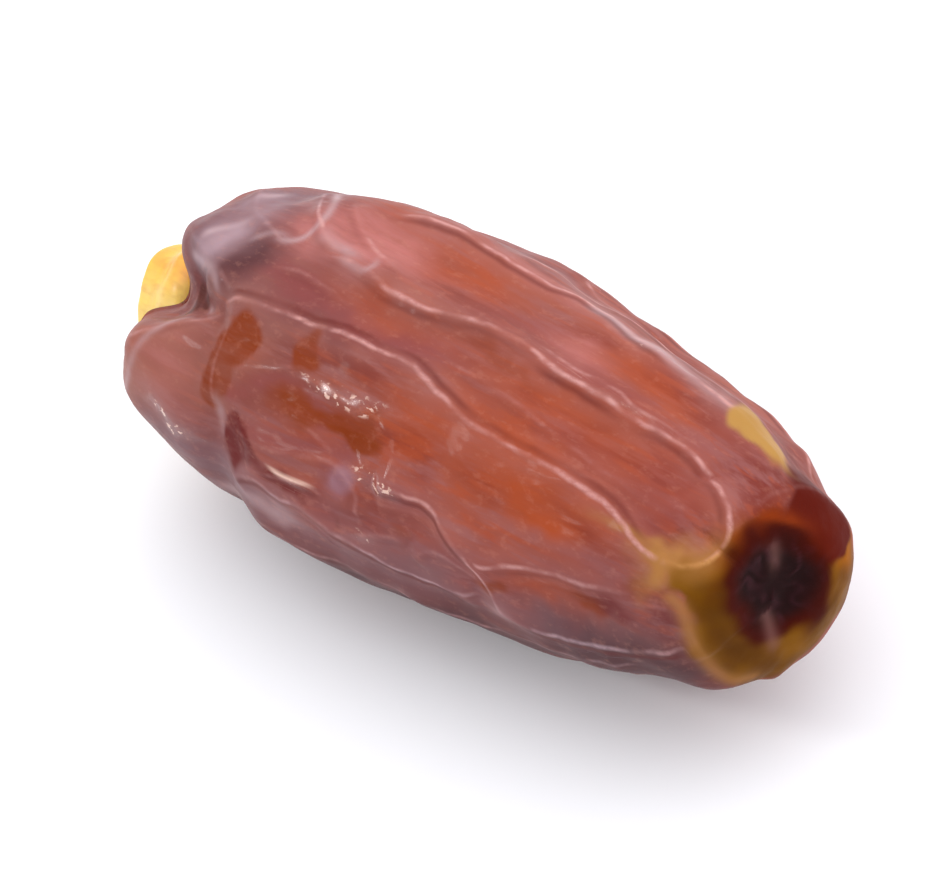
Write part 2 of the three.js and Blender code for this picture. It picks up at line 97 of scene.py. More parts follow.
# Ridges of the skin: height and roundness of the crest, reach of its slopes on the sides of smaller
# and greater angle where its path runs towards the tip, the length over which it rises at its ends,
# and the path as (station, angle) points. Then how plain its pale line is, partly paler skin and partly
# a painted highlight, and whether the dark line beside that, a painted shadow, lies on the side of
# smaller angle
Ridge = namedtuple("Ridge", "height crest over under rise path line dark_over", defaults=(1, False))
RIDGES = {
    "low_main": Ridge(0.44, 0.3, 2.2, 1.5, 1.5, [(9, 116), (11.5, 112), (15, 110.5), (19, 109),
        (23.3, 108.4), (26, 110), (29, 115), (31, 116.5), (38.5, 117.2), (41.8, 118), (43.2, 121),
        (44.8, 126), (46.2, 129), (47.4, 129.5)], dark_over=True),
    "arch_low": Ridge(0.42, 0.34, 1.3, 0.9, 1.2, [(45.8, 128.5), (47.2, 129), (48.2, 126), (48.8, 119),
        (49, 110), (49, 103)], dark_over=True),
    "arch_high": Ridge(0.42, 0.34, 1.3, 0.9, 1.5, [(49, 108), (48.9, 100), (48.3, 93), (47.3, 87.5),
        (46, 83.5), (44.5, 82)], dark_over=True),
    "high_main": Ridge(0.55, 0.3, 2.2, 0.8, 2.5, [(13, 86), (15.7, 87.4), (20, 90), (22, 90.5), (24.5, 87.7),
        (26, 86), (29.2, 84.4), (32, 86.3), (36.7, 85.2), (39, 85.3), (41, 83), (44.8, 81.3), (46.6, 82)]),
    "high_twin": Ridge(0.24, 0.24, 0.6, 0.3, 3, [(28, 80), (31, 82.2), (36, 81.4), (39, 81.2), (42, 79),
        (45.5, 77)]),
    "top": Ridge(0.48, 0.34, 2, 1.4, 3, [(14, 60), (18, 56.5), (22.6, 55), (26, 54), (28.9, 50),
        (33, 52.5), (37.9, 52), (41, 50), (45, 48), (48, 50)]),
    "top_back": Ridge(0.34, 0.34, 1.8, 1.4, 3, [(20, 42), (27, 40), (32, 38), (38, 40), (43, 38)]),
    "faint": Ridge(0.2, 0.5, 0.9, 0.9, 4, [(25, 100), (30, 102.5), (33, 104), (35.7, 106), (38.5, 107.5),
        (41.7, 108), (46, 108)], line=0.5),
    "low_lobe_lip": Ridge(0.36, 0.42, 0.8, 1.4, 3, [(1.2, 166), (1.8, 158), (2.6, 150), (3.8, 142),
        (5.2, 134), (7, 127), (8.6, 121.5), (10, 118)], line=0.6),
    "high_lobe_lip": Ridge(0.32, 0.42, 1.6, 0.8, 1.5, [(0, 80), (1.5, 90), (3.5, 98), (5.5, 102),
        (7.5, 106.5), (9.5, 112)], line=0.5),
    "lobe_edge": Ridge(0.24, 0.42, 1.2, 1.2, 1.5, [(10, 118), (10.8, 126), (10.9, 135), (11.2, 145),
        (11.6, 153)], line=0.4),
    "shoulder_back": Ridge(0.36, 0.34, 1.8, 0.8, 2, [(8, 52), (9, 60), (10.3, 70), (11.5, 77), (13, 82),
        (15.5, 85.5)]),
    "shoulder_front": Ridge(0.3, 0.38, 0.9, 0.9, 2, [(3, 55), (4.5, 66), (6, 77), (8, 84), (11, 90)],
        line=0.5),
    "shoulder_swirl": Ridge(0.34, 0.34, 1, 0.6, 2, [(11.5, 60), (13, 68), (15, 75), (17, 80), (20, 84)],
        line=0.6),
    "shoulder_panel": Ridge(0.24, 0.38, 0.8, 0.8, 2, [(11, 98), (14, 97), (18, 99)], line=0.5),
    "near_low": Ridge(0.42, 0.3, 0.8, 1.8, 1.5, [(13, 175), (14.7, 169), (16, 166.5), (17.6, 168),
        (20, 166.5), (21.6, 168.5), (23.4, 172), (25.5, 175), (28, 178.5), (31, 179), (34, 177)]),
    "near_low_twin": Ridge(0.3, 0.26, 0.8, 0.4, 1.2, [(14.8, 167), (16.3, 163), (18.3, 159.5), (20.8, 158.5),
        (22, 160)], line=0.5),
    "near_fold": Ridge(0.3, 0.38, 0.4, 1.2, 1.5, [(13.5, 153), (16, 152), (18, 151), (20, 148.5),
        (21.8, 146), (23.3, 149), (24.3, 155), (24.2, 161), (25, 167)], line=0.3),
    "near_bend": Ridge(0.46, 0.3, 1.6, 0.8, 1.5, [(25, 148), (28, 147), (29.3, 146.5), (30.4, 148),
        (31.3, 151.5), (32.4, 155), (33.5, 159.5), (34.6, 166), (35.1, 174), (35.8, 181), (38, 184),
        (42, 184), (46, 183), (49, 180)]),
    "near_tip": Ridge(0.34, 0.3, 1.3, 0.8, 1.5, [(33, 158), (34.8, 160), (36.2, 157.5), (38, 155), (40, 154),
        (42.5, 152.5), (46, 151)]),
    "near_tip_twin": Ridge(0.22, 0.26, 0.4, 0.5, 2, [(37.5, 160), (40, 158), (43, 156.5), (46, 154.5),
        (48.5, 151)], line=0.6),
    "near_bulge": Ridge(0.3, 0.38, 0.5, 1.3, 1.2, [(28.6, 172), (29.6, 166), (30.8, 162.5), (32, 163),
        (33.2, 166), (34.4, 171)], line=0.35),
    "near_net": Ridge(0.24, 0.26, 0.5, 0.5, 1, [(23, 172), (24.4, 169), (25.6, 167), (27.2, 164), (29, 163)],
        line=0.3),
    "near_hem": Ridge(0.4, 0.42, 1.6, 1.6, 3, [(13, 196), (17, 192), (21, 190), (25, 191), (29, 196),
        (34, 199), (40, 197), (46, 195)], line=0.5),
    "near_cross": Ridge(0.22, 0.34, 0.6, 0.6, 1.2, [(25.2, 154.5), (27, 153.5), (29, 152), (30.3, 154),
        (30.6, 160)], line=0.35),
    "cheek_high": Ridge(0.24, 0.42, 0.8, 0.8, 1.5, [(12, 134), (14, 131), (16, 126), (17.5, 124), (21, 127),
        (24, 132)], line=0.15),
    "cheek_low": Ridge(0.22, 0.42, 0.7, 0.7, 1.5, [(17, 142), (19, 139), (21, 141), (22.8, 145)], line=0.25),
    "tip_rim": Ridge(0.3, 0.38, 0.9, 0.7, 1.5, [(46.4, 131), (47, 138), (48, 144), (48.7, 151), (49.1, 163),
        (49.3, 180), (49.4, 198)], line=0.15, dark_over=True),
    "tip_rim_far": Ridge(0.3, 0.42, 0.9, 0.7, 1.5, [(48.4, 95), (48, 75), (47.6, 55), (47.4, 35), (47.8, 15),
        (48.2, -10), (48, -40), (48, -75), (48.6, -110)], line=0.15),
    "far_high": Ridge(0.6, 0.34, 1.8, 1.4, 3, [(8, 20), (13, 15), (19, 17), (24, 22), (29, 20), (34, 14),
        (40, 12), (46, 14)]),
    "far_middle": Ridge(0.5, 0.34, 1.4, 2, 3, [(10, -14), (15, -8), (20, -4), (25, -7), (31, -13),
        (37, -12), (43, -9)]),
    "far_fork": Ridge(0.45, 0.34, 1.6, 1.6, 2, [(15, -8), (19, -17), (24, -24), (30, -29), (36, -27),
        (42, -30), (47, -32)]),
    "far_low": Ridge(0.42, 0.34, 1.8, 1.4, 3, [(6, -38), (11, -36), (16, -43), (21, -50), (27, -50),
        (33, -47)]),
    "far_branch": Ridge(0.3, 0.34, 0.7, 0.7, 2, [(24, 22), (26, 29), (28, 34), (31, 38)]),
    "far_cross": Ridge(0.28, 0.34, 0.7, 0.7, 2, [(31, -13), (33, -4), (35, 4), (38, 11)]),
    "under_far": Ridge(0.4, 0.42, 1.8, 1.8, 4, [(9, -75), (16, -70), (24, -72), (32, -68), (40, -66),
        (46, -70)]),
    "under_middle": Ridge(0.4, 0.42, 1.8, 1.8, 4, [(10, -105), (18, -102), (26, -108), (34, -104),
        (42, -108)]),
    "under_near": Ridge(0.42, 0.42, 1.8, 1.8, 4, [(8, -136), (14, -132), (21, -136), (29, -138), (38, -134),
        (45, -136)]),
}
PATH_STEP = 0.5  # spacing of the smoothed points of a ridge's path
PATH_EXTRA = 4  # steps that each path gets besides
DEGREE_MM = 0.16  # about a degree's width in mm, for measuring along a path
JOIN_POWER = 3  # ridges that meet blend by the sum of this power
RIDGE_REACH = 9.0  # a ridge adds nothing further from its path than this

# Soft hollows, and swellings where the depth is negative: station, angle, half length along the
# fruit, half width round it, depth
HOLLOWS = {
    "notch": [(6.6, 121, 2.4, 1.1, 1.3), (4.4, 113, 1.5, 1, 0.7), (2.5, 122, 2.2, 2, 0.7)],
    "lobe_waist": [(12, 163, 1.7, 4, 0.65), (12, 195, 1.6, 4, 0.5), (14.2, 161, 1.3, 1.6, 0.35)],
    "upper_panels": [(18, 100, 8, 2.4, 0.4), (34, 95, 10, 1.8, 0.34), (34, 111, 9, 1.2, 0.12),
        (38, 67, 9, 2.4, 0.4), (24, 70, 5, 2.2, 0.3), (15.5, 72, 2.4, 2, 0.25), (9, 45, 3, 3, 0.3)],
    "near_panels": [(36, 133, 7, 3, 0.3), (20, 122, 4, 2, 0.15), (23, 137, 1.7, 2, 0.3),
        (9.6, 132, 1.6, 3, 0.25), (22, 182, 6, 1.8, 0.3), (42, 170, 6, 2, 0.5), (28, 158, 2.4, 1.5, 0.3),
        (31, 187, 4, 2, 0.25)],
    "near_swells": [(22.5, 154, 1.3, 1.6, -0.3), (26.3, 147, 1.8, 1.4, -0.22), (7, 158, 3, 5, -0.35),
        (3, 165, 2.5, 3, -0.68)],
    "shoulder": [(12.5, 53, 4.8, 3.5, -0.68)],
    "pit": [(-2.2, -90, 2.8, 4.2, 1.3)],
    "rim": [(1, 148, 1.8, 2.6, 0.6), (1.2, 83, 1.6, 1.5, 0.3), (0, 97, 1.5, 2, -0.3),
        (2.5, 20, 2.5, 3.5, 0.4), (2.5, -60, 2.5, 4, 0.4)],
    "tip": [(49.5, 0, 3, 3.8, -0.8), (50.5, 60, 2, 3, 0.12), (48.8, -70, 2.5, 3.4, -0.65),
        (48.4, -130, 2.5, 3.4, -0.75)],
    "far_panels": [(30, 2, 8, 2.2, 0.35), (18, 5, 4, 2.2, 0.3), (38, 27, 6, 2.2, 0.35),
        (14, 32, 4, 2.4, 0.3), (24, -36, 8, 2.2, 0.3), (40, -20, 5, 1.8, 0.25)],
    "far_edge": [(28, 34, 5, 2.3, 0.6), (34, 22, 3, 2.3, 0.4), (45.8, 23, 2.6, 2.2, 0.4)],
    "underside": [(26, -90, 10, 3.4, -0.5), (26, -124, 9, 2.3, 0.3)],
}

# Gentle waves of the whole skin: height, waves round the fruit, length of a wave along it, phase
WAVES = [(0.07, 5, 19, 40), (0.06, -7, 13, 210), (0.05, 11, 17, 95), (0.04, -13, 9, 300)]
WAVES_FULL_RADIUS = 8  # they die away where the fruit is thinner than this

# What makes the drawn ridges look grown: wandering paths, uneven crests and fine wrinkles. A noise is
# given by its height, the size of its hills in mm and its seed
WANDER = [(0.12, 2.6), (0.05, 1.0)]
WANDER_SEEDS = (11.3, 47.1)  # for the station and the angle
CREST_UNEVEN = (0.25, 2.2, 5.5)
DIMPLES = (0.035, 1.9, 71.0)
WRINKLES = (1.0, (3.0, 0.8, 0.8), 23.0)
WRINKLE_HEIGHT = 0.03
NOISE_GAIN = 1.6  # brings the noise to between about -1 and 1

# Places that have a colour of their own, places where shade, a sheen or a highlight is painted in as
# colour, and crinkled ones that shine: station, angle, half length, half width, strength
PATCHES = {
    "mauve": [(23.5, 100, 3, 1.2, 0.6), (12, 100, 5, 2.2, 0.8), (20, 104, 7, 1, 0.8),
        (27, 77, 4, 1.6, 0.5), (35, 80, 7, 1, 0.8), (44, 74, 3.5, 3, 0.35), (44, 107, 2.5, 2, 0.6),
        (38, 104, 5, 0.7, 0.5), (16, 145, 4, 3, 0.35), (22.5, 155, 1.5, 1.8, 0.8),
        (27.5, 146, 2.4, 1.4, 0.8), (42, 150, 4, 1.4, 0.5), (33, 165, 8, 2, 0.5), (20, 20, 10, 4, 0.35),
        (32, -30, 9, 4, 0.4)],
    "rose": [(14, 72, 4, 2.2, 1), (18.5, 78, 3.5, 1.6, 0.8), (32, 74, 2.5, 1.2, 0.8),
        (11, 84, 3, 1.2, 0.7), (44, 45, 2, 1, 0.4), (26, 53, 6, 1, 0.5), (7, 150, 3, 3.5, 0.6)],
    # partly the skin's purple-grey bloom, partly a painted reflection of the sky on the upper lobe and
    # painted shade low on the near side
    "grey_sheen_shade": [(6, 76, 3.6, 3.5, 0.8), (4, 100, 3.6, 3, 0.9), (9, 175, 7, 4, 0.6), (27, 180, 20, 3.4, 0.75),
        (12, -60, 8, 5, 0.5), (8, 55, 4, 3, 0.5), (43, 185, 5, 3, 0.6)],
    "shade": [(8.6, 101, 1.8, 1.6, 0.9), (3.5, 112, 3, 1.2, 0.8), (9, 90, 1.8, 1.2, 0.5),
        (17, 108, 5, 0.6, 0.3)],
    # painted shade: darker along the far top edge and over the underside
    "dusk_shade": [(36, 43, 6, 0.8, 0.3), (46, 34, 2.5, 1.5, 0.7), (24, 203, 20, 3, 0.8), (24, 225, 20, 5, 0.9),
        (24, -100, 18, 8, 0.8), (44, 200, 5, 4, 0.9)],
    "orange": [(23, 70, 3.6, 1.8, 0.9), (37, 66, 4, 1.4, 0.8), (20, 96, 4, 1, 0.5),
        (36, 95, 9, 1.6, 0.6), (33, 112, 5, 0.9, 0.7), (36, 126, 7, 1.8, 0.7), (37.8, 133, 3.2, 1.2, 0.9),
        (27, 124, 3, 1.2, 0.5), (38, 162, 3, 1, 0.6), (12.5, 128, 2.5, 2, 0.4), (40.5, 168, 3, 1, 0.4),
        (28, 4, 6, 1.8, 0.5), (36, -22, 5, 2, 0.5)],
    "deep": [(11.2, 143, 0.9, 1.4, 1.3), (11.6, 134, 1, 1.8, 1.4), (12, 123.5, 1.1, 1.5, 1.4),
        (17.4, 117.2, 1, 1.2, 1.4), (23.2, 133, 1.7, 1.2, 1.3), (17.5, 136, 2.5, 1.6, 0.6),
        (20, 134, 2.5, 1, 0.5), (29, 93, 9, 0.9, 0.5), (35, 167, 1.6, 0.8, 0.7), (42, 163, 2.6, 0.9, 0.7),
        (28, 162, 2.2, 1.2, 0.5), (38, 29, 4, 1.6, 0.5), (17, -28, 4, 1.8, 0.5)],
    # partly paler skin, partly painted highlights along folds and crests
    "pale": [(14.5, 83, 1.8, 0.5, 0.7), (12, 150, 0.5, 1.4, 0.4), (17, 179, 2.5, 0.8, 0.6),
        (12.5, 192, 2, 0.9, 0.5), (35, 181, 1.2, 0.7, 0.5), (6, -20, 1.5, 2, 0.5), (9, 20, 1.2, 1.8, 0.4)],
    "wine": [(13.4, 159, 1.1, 1.7, 1.6), (14.8, 156, 1.3, 0.8, 1.2), (18.5, 161.5, 2.4, 0.9, 1),
        (14, 152, 1.2, 1.6, 0.6), (44, 160, 4, 1, 0.6), (44, 96, 2.4, 1.8, 0.4), (33, 182, 4, 0.8, 0.4),
        (22, -60, 6, 1.2, 0.5), (33, 0, 6, 1, 0.4)],
    "tan": [(6, 154, 4, 3.5, 0.8), (3, 175, 3, 3, 0.5)],
    "lilac": [(23.3, 152.5, 1.5, 1.6, 0.9)],
    # a painted sheen: the grey-mauve veil of the bright sky on the upper and near faces
    "haze_sheen": [(9, 100, 8, 6, 0.4), (12, 128, 6, 5, 0.35), (24, 80, 8, 5, 0.2), (3, 150, 4, 4, 0.3)],
    # a painted highlight: the broad light on the upper lobe
    "ash_highlight": [(5.6, 92, 1.6, 1.6, 0.9), (6.2, 76, 2, 1.6, 0.8), (4.2, 102, 1.2, 1, 0.7)],
    # painted shadow: dark brown in the notch beside the calyx; the same tint in a small spot low on the near
    # side
    "brown": [(5.6, 119, 1.3, 0.8, 0.9), (3.2, 120, 1, 1.2, 0.9), (23, 166.5, 0.7, 0.5, 0.45)],
    "tan_rim": [(45.8, 129, 1.2, 0.8, 0.9), (47.3, 122, 0.8, 1.2, 0.9), (48.6, 112, 0.7, 1.2, 0.9),
        (46.6, 139, 0.9, 0.9, 0.9), (43.6, 124, 1.8, 0.4, 0.7)],
    "orange_rim": [(49.6, 5, 0.8, 1, 1), (50, 350, 0.8, 1.2, 0.6)],
    "ember": [(50.2, 70, 1.3, 1.9, 1.4), (47.9, 33, 2.2, 1.8, 1.5), (49.8, 14, 1.2, 1, 1.2)],
    # painted shade: darker ochre under the tip
    "olive_shade": [(51, 215, 1.5, 2.5, 0.6), (50.6, 178, 1.2, 2, 0.5)],
    "glow": [(49.7, 86, 0.9, 2.2, 1), (49.2, 60, 0.7, 1.8, 0.7), (50.6, 40, 0.7, 1.2, 0.4)],
    "yellow": [(43.6, 45, 2.6, 1.1, 1.4)],
    "crinkle": [(20.8, 125.3, 3.8, 0.42, 1.1), (25.3, 145.5, 1.8, 0.75, 1.2), (19.5, 159, 1.4, 0.35, 0.8),
        (24.7, 166, 1, 0.5, 0.8), (37, 85, 6, 0.25, 0.5), (34, 53, 7, 0.4, 0.5),
        (7.2, 165, 1.6, 0.35, 0.9), (9.8, 166.5, 1.6, 0.35, 0.9), (10, 66, 1, 1.5, 0.3)],
}
PATCH_WANDER = [(0.6, 3.0), (0.25, 1.1)]
CRISP = ("deep", "wine", "lilac", "yellow", "ember", "brown")  # these have an edge, the others fade out
CRISP_EDGE = (0.3, 0.75)  # the edge lies between these strengths

# Thin strokes of colour along the skin, some of them painted highlights: half width, strength and path,
# as for the ridges
STROKES = {
    # painted highlights on the upper lobe and along the top ridge, partly over paler skin
    "pale": [
        (0.35, 0.9, [(3.7, 98), (4.6, 92), (5.5, 87.5), (6.6, 81)]),
        (0.35, 0.8, [(4.4, 72), (5.2, 66), (6.1, 60)]),
        (0.3, 0.6, [(2.5, 104), (5, 105), (7.4, 109), (8.5, 114)]),
        (0.25, 0.5, [(7.5, 92), (8.8, 86.5), (10.4, 85)]),
        (0.25, 0.8, [(9.6, 57), (11.2, 70), (11.7, 80), (10.9, 86), (9.3, 88)]),
        (0.25, 0.6, [(14.7, 87), (16.9, 88.5), (17.4, 85), (17, 81)]),
        (0.3, 0.5, [(5.9, 125.5), (4.7, 139.5), (3.9, 157), (3, 175)]),
        (0.3, 0.9, [(6.2, 120.5), (7, 120), (7.7, 119.2)]),
        (0.4, 0.6, [(28.8, 51), (33, 52.5), (37.9, 52), (41, 50), (42.6, 47)]),
    ],
    "mauve": [
        (0.8, 0.9, [(12, 145), (15, 134), (17, 128.5), (18.5, 131), (21.5, 138)]),
        (0.7, 0.8, [(12.4, 152), (16, 149), (19, 147), (21.5, 142), (24, 146)]),
    ],
    "wine": [(0.35, 1, [(17, 160.5), (19, 160), (21.5, 159.5)])],
    "tan_rim": [
        (0.45, 0.65, [(47.2, 143), (48.3, 148), (48.9, 158), (49.1, 172), (49.3, 190), (49.2, 206),
                      (49.1, 224), (49.3, 245)]),
    ],
    # a painted highlight: a bright glint line low on the near side
    "glint": [(0.13, 0.9, [(17.2, 157.2), (18.4, 157.9), (19.6, 157.8), (21, 157.4)])],
    "crease": [
        (0.4, 0.35, [(53.2, 210), (52.6, 235), (50.9, 252)]),
        (0.35, 0.3, [(50.4, 74), (51.2, 66), (52.4, 66)]),
    ],
}
STROKE_ENDS = (-0.3, 1.0)  # a stroke comes in between these distances from its end

# The tip's ochre skin starts at this station, further back round this angle, and fades in over so much
OCHRE_FROM = 49.0
OCHRE_NEAR = dict(angle=130, back=2.3, width=14)
OCHRE_FADE = 0.4

# The dark scar in the middle of the tip: a dent with a floor of that share of its radius, dark tints
# that fade out between these distances from its radius, and wavering folds in a ring, in shares of it
SCAR = dict(station=52.9, angle=66, radius=3.4, sunk=0.6, floor=0.3)
SCAR_FADES = {"scar_edge": (-0.5, 0.4), "scar": (-1.7, -0.2)}
SCAR_UNEVEN = (0.5, 1.5, 91.0)
PUCKERS = dict(count=6, height=0.05, middle=0.5, width=0.28, least=0.7)
PUCKER_WAVERS = [(4.0, 1.6, 81.0), (2.5, 0.7, 85.0)]
PUCKER_UNEVEN = (0.6, 1.3, 88.0)

# Driving dimensions of the calyx, a stout cup on its own axis, seated in the pit
SEAT_IN = 2.2  # how far the seat lies in from the spine's end, and how far below it
SEAT_DROP = 0.75
CALYX_LEAN = 19  # the axis dips by so many degrees from the spine, on its way out
CALYX_LOWER = 0.05  # the section is lower than round by this share
CALYX_OUTLINE = [  # distance out from the seat, and radius
    (0, 0), (0, 2.6), (0.35, 3.6), (0.9, 4.2), (1.6, 4.4), (2.4, 4.35), (3.2, 4.05), (4, 3.9), (4.6, 3.95),
    (5.1, 3.9), (5.3, 3.4), (5, 2.7), (4.4, 2), (3.9, 1.4), (3.9, 1), (4.3, 0.8), (4.4, 0.4), (4.4, 0),
]
CALYX_RINGS = 120
CALYX_AROUND = 180
FINE_STEPS = 40  # steps for each point of the outline, before its rings are spaced evenly
LOBES = 3
# Bands that stand out in lobes: how far out, over what reach, how much wider and further out
SKIRT = dict(at=1.6, reach=1.5, wider=0.1, wave=0.2, turn=90)
LIP = dict(at=4.9, reach=0.9, wider=0.04, wave=0.3, turn=105)
GRAIN = (0.04, 1.4, 3.0)
GRAIN_ALONG = 0.25  # the grain is drawn out along the calyx: its noise goes by so much slower
UPPER = dict(angle=60, rise=(1.2, 3.6))  # the orange side: its middle, and between which heights in mm
HOLLOW = dict(after=0.7, fade=0.7)  # the brown hollow: after this share of the rings, over so many mm

# The camera: where it stands and looks, in mm from the part's origin, its roll and its lens
CAMERA_AT = (125.14, -88.41, 158.48)
CAMERA_TO = (0.37, -0.74, 10.34)
CAMERA_ROLL = 18.43
CAMERA_LENS = 136.7
CAMERA_CLIP = 0.01

# A crest's pale line, partly paler skin and partly a painted highlight, and the painted shadow beside
# it: how far off the crest in mm, and half the width
CREST_LINE = dict(at=0.0, width=0.25)
CREST_SHADOW = dict(at=0.45, width=0.4)
CREST_SPAN = 1.0  # the skin knows its distance from a crest up to this far
CREST_CLAIM = 0.5  # how fast a crest's claim to a place fades; where two are equal, no line
CLAIM_LEAD = (0.1, 0.9)  # the line comes in as the first claim leads the second by these shares
LINE_FULL_HEIGHT = 0.4  # a ridge at least this high shows its line whole
CREST_PALE_SHEEN_WIDTH = 1.2  # this near to a crest the skin is paler: partly its own paler tone, partly a painted highlight
VALLEY_BLURS = 40  # valleys lie under the relief blurred so many times, by these depths in mm
VALLEY_DEPTHS = (0.02, 0.22)
WET = 0.03  # how much the skin shines, except at the tip, and how much more where it is masked
WETTER = {"crinkle": 0.9, "grey_sheen_shade": 0.1, "rose": 0.05, "pale": 0.1, "pucker_glint": 0.05}

# Colours as they show on screen, each group in the order in which it is laid on
PANEL_DARK = (116, 42, 32)
PANEL_LIGHT = (152, 76, 58)
PANEL_MAUVE = (146, 90, 86)
PANEL_FIRE = (164, 70, 36)
# Deeper red in the valleys: partly the skin lying on the flesh, partly painted shade in the hollows. Paler
# near the crests: partly the skin's own paler tone, partly a painted highlight
RELIEF_TINTS = {"valley": (116, 34, 20), "crest_pale_sheen": (166, 104, 96)}
# Several of these tints are painted light, in whole or in part, as noted at their patches: shade under the
# fruit, at its far edge, in the notch and in the upper lobe's crease, a sheen, highlights, and grey that is
# part reflection and part shade
PATCH_TINTS = {
    "haze_sheen": (124, 100, 96), "tan": (170, 104, 78), "mauve": (132, 68, 66), "rose": (176, 104, 98),
    "grey_sheen_shade": (116, 84, 90), "shade": (84, 46, 48), "dusk_shade": (84, 54, 56), "orange": (162, 70, 36),
    "deep": (128, 52, 20), "pale": (186, 156, 158), "lilac": (146, 100, 108), "ash_highlight": (164, 134, 140),
    "wine": (98, 22, 18), "brown": (62, 26, 16),
}
STREAKED = ("mauve", "rose", "orange", "deep", "wine")  # these break up in streaks, others in clouds
SPECK_TINT = (206, 140, 120)
OCHRE_TINT = (128, 80, 4)
OCHRE_DEEP = (94, 54, 2)
TIP_TINTS = {
    "tan_rim": (168, 114, 62), "orange_rim": (156, 88, 0), "ember": (88, 16, 2), "glow": (136, 50, 6),
    # the darker ochre below is painted shade under the tip
    "olive_shade": (84, 46, 4),
}
# A painted shadow: the dark line beside each crest
CREST_SHADOW_TINT = (92, 22, 16)
# The crest lines: partly paler skin, partly a painted highlight
LINE_TINT = (202, 146, 140)
LINE_TINT_GREY = (164, 136, 142)
LINE_TINT_TAN = (198, 140, 84)
# Painted glints: pale flecks in the crinkled places and the glint strokes
GLINT_TINT = (236, 196, 178)
TOP_TINTS = {
    # The purple tint on the scar's folds is a painted glint; the last tint paints bright glints
    "yellow": (176, 130, 66), "scar_edge": (66, 10, 0), "scar": (32, 12, 12), "pucker_glint": (78, 34, 44),
    "crease": (140, 96, 90), "glint": GLINT_TINT,
}
SHARES = {"valley": 0.55, "crest_pale_sheen": 0.5, "pucker_glint": 0.3}  # these masks tint only by so much
CAP_UPPER = (252, 172, 56)
CAP_LOWER = (236, 200, 108)
CAP_MIDDLE = (252, 212, 82)
CAP_STREAK = (206, 146, 60)
CAP_HOLLOW = (150, 96, 40)
FLOOR_TINTS = ((246, 246, 248), (250, 250, 251))

# Noise in the materials: size of its hills in mm, how many times longer they are along the fruit, its
# detail and roughness. Then the two values between which it acts, and the shares that it gives there
NOISES = {
    "streaks": (1.1, 7, 4, 0.6), "threads": (0.5, 12), "clouds": (3.6, 2.2), "specks": (0.5, 1.6, 3, 0.6),
    "gaps": (2.6,), "glint_flecks": (0.34, 1.6), "pores": (0.5, 1.8), "crinkle": (0.42, 1.5, 2, 0.6),
}
SPANS = {
    "clouds": (0.35, 0.65), "streaks": (0.45, 0.65, 0, 0.75), "threads": (0.5, 0.7, 0, 0.55),
    "patches": (0.3, 0.6, 0.55, 1), "specks": (0.52, 0.75, 0, 0.12), "groove": (0.4, 0.6, 0.1, 0.55),
    "line": (0.35, 0.6, 0.5, 0.95), "gaps": (0.4, 0.6, 0.15, 0.9), "crinkle": (0.35, 0.8),
    "glint_flecks": (0.56, 0.64, 0, 0.8), "roughness": (0.3, 0.7, 0.4, 0.52),
}
CAP_NOISES = {"clouds": (2.2,), "streaks": (0.5, 4, 3)}
CAP_SPANS = {
    "clouds": (0.35, 0.65, 0, 0.5), "streaks": (0.45, 0.75, 0, 0.35), "roughness": (0.3, 0.7, 0.34, 0.5),
}
FLOOR_NOISE = 60

# Finish of the surfaces, and the depths of their bumps in mm
SKIN_BUMPS = {"crinkle": 0.14, "crest": 0.02, "threads": 0.02, "pores": 0.012}
CAP_BUMP = 0.05
SKIN_FINISH = {
    "Specular IOR Level": 0.05, "Subsurface Weight": 0.08, "Subsurface Radius": (1.0, 0.32, 0.16),
    "Subsurface Scale": 0.5 * MM, "Coat Roughness": 0.12,
}
CAP_FINISH = {
    "Subsurface Weight": 0.25, "Subsurface Radius": (1.0, 0.6, 0.25), "Subsurface Scale": 0.8 * MM,
    "Coat Weight": 0.25, "Coat Roughness": 0.25,
}
FLOOR_FINISH = {"Roughness": 0.8, "Specular IOR Level": 0.2}

# Soft studio light: a sky that is brightest behind and above, and a small lamp that makes the glints
SKY_TINT = (250, 251, 255)
SKY_LOW = 0.6
SKY_HIGH = 1.9
SKY_TOWARD = (0.15, 0.6, 1.2)
SKY_EDGE = 0.1  # the cosine of the angle from there at which it starts to brighten
LAMP = dict(direction=(-0.587, -0.536, 0.607), distance=0.8, size=0.12, watts=1.2, to=(0, 0, 0.01))
FLOOR_SIZE = 3.0


def srgb(red, green, blue):
    """A colour given as 0 to 255 on screen, as the shader's linear colour."""
    def linear(value):
        value = value / 255
        return value / 12.92 if value <= 0.04045 else ((value + 0.055) / 1.055) ** 2.4
    return (linear(red), linear(green), linear(blue), 1.0)


# Form of the fruit

def smooth_path(points, steps):
    """Points of the centripetal Catmull-Rom curve through the given ones."""
    points = np.asarray(points, float)
    ends = np.vstack([2 * points[0] - points[1], points, 2 * points[-1] - points[-2]])
    knots = np.concatenate([[0], np.cumsum(np.linalg.norm(np.diff(ends, axis=0), axis=1) ** 0.5)])
    places = np.linspace(0, len(points) - 1, steps + 1)
    spans = np.minimum(places.astype(int), len(points) - 2)
    at = knots[spans + 1] + (places - spans) * (knots[spans + 2] - knots[spans + 1])
    k0, k1, k2, k3 = (knots[spans + i] for i in range(4))
    p0, p1, p2, p3 = (ends[spans + i] for i in range(4))

    def mix(a, b, from_knot, to_knot):
        share = ((at - from_knot) / (to_knot - from_knot))[:, None]
        return a + (b - a) * share

    first = mix(mix(p0, p1, k0, k1), mix(p1, p2, k1, k2), k0, k2)
    second = mix(mix(p1, p2, k1, k2), mix(p2, p3, k2, k3), k1, k3)
    return mix(first, second, k1, k2)


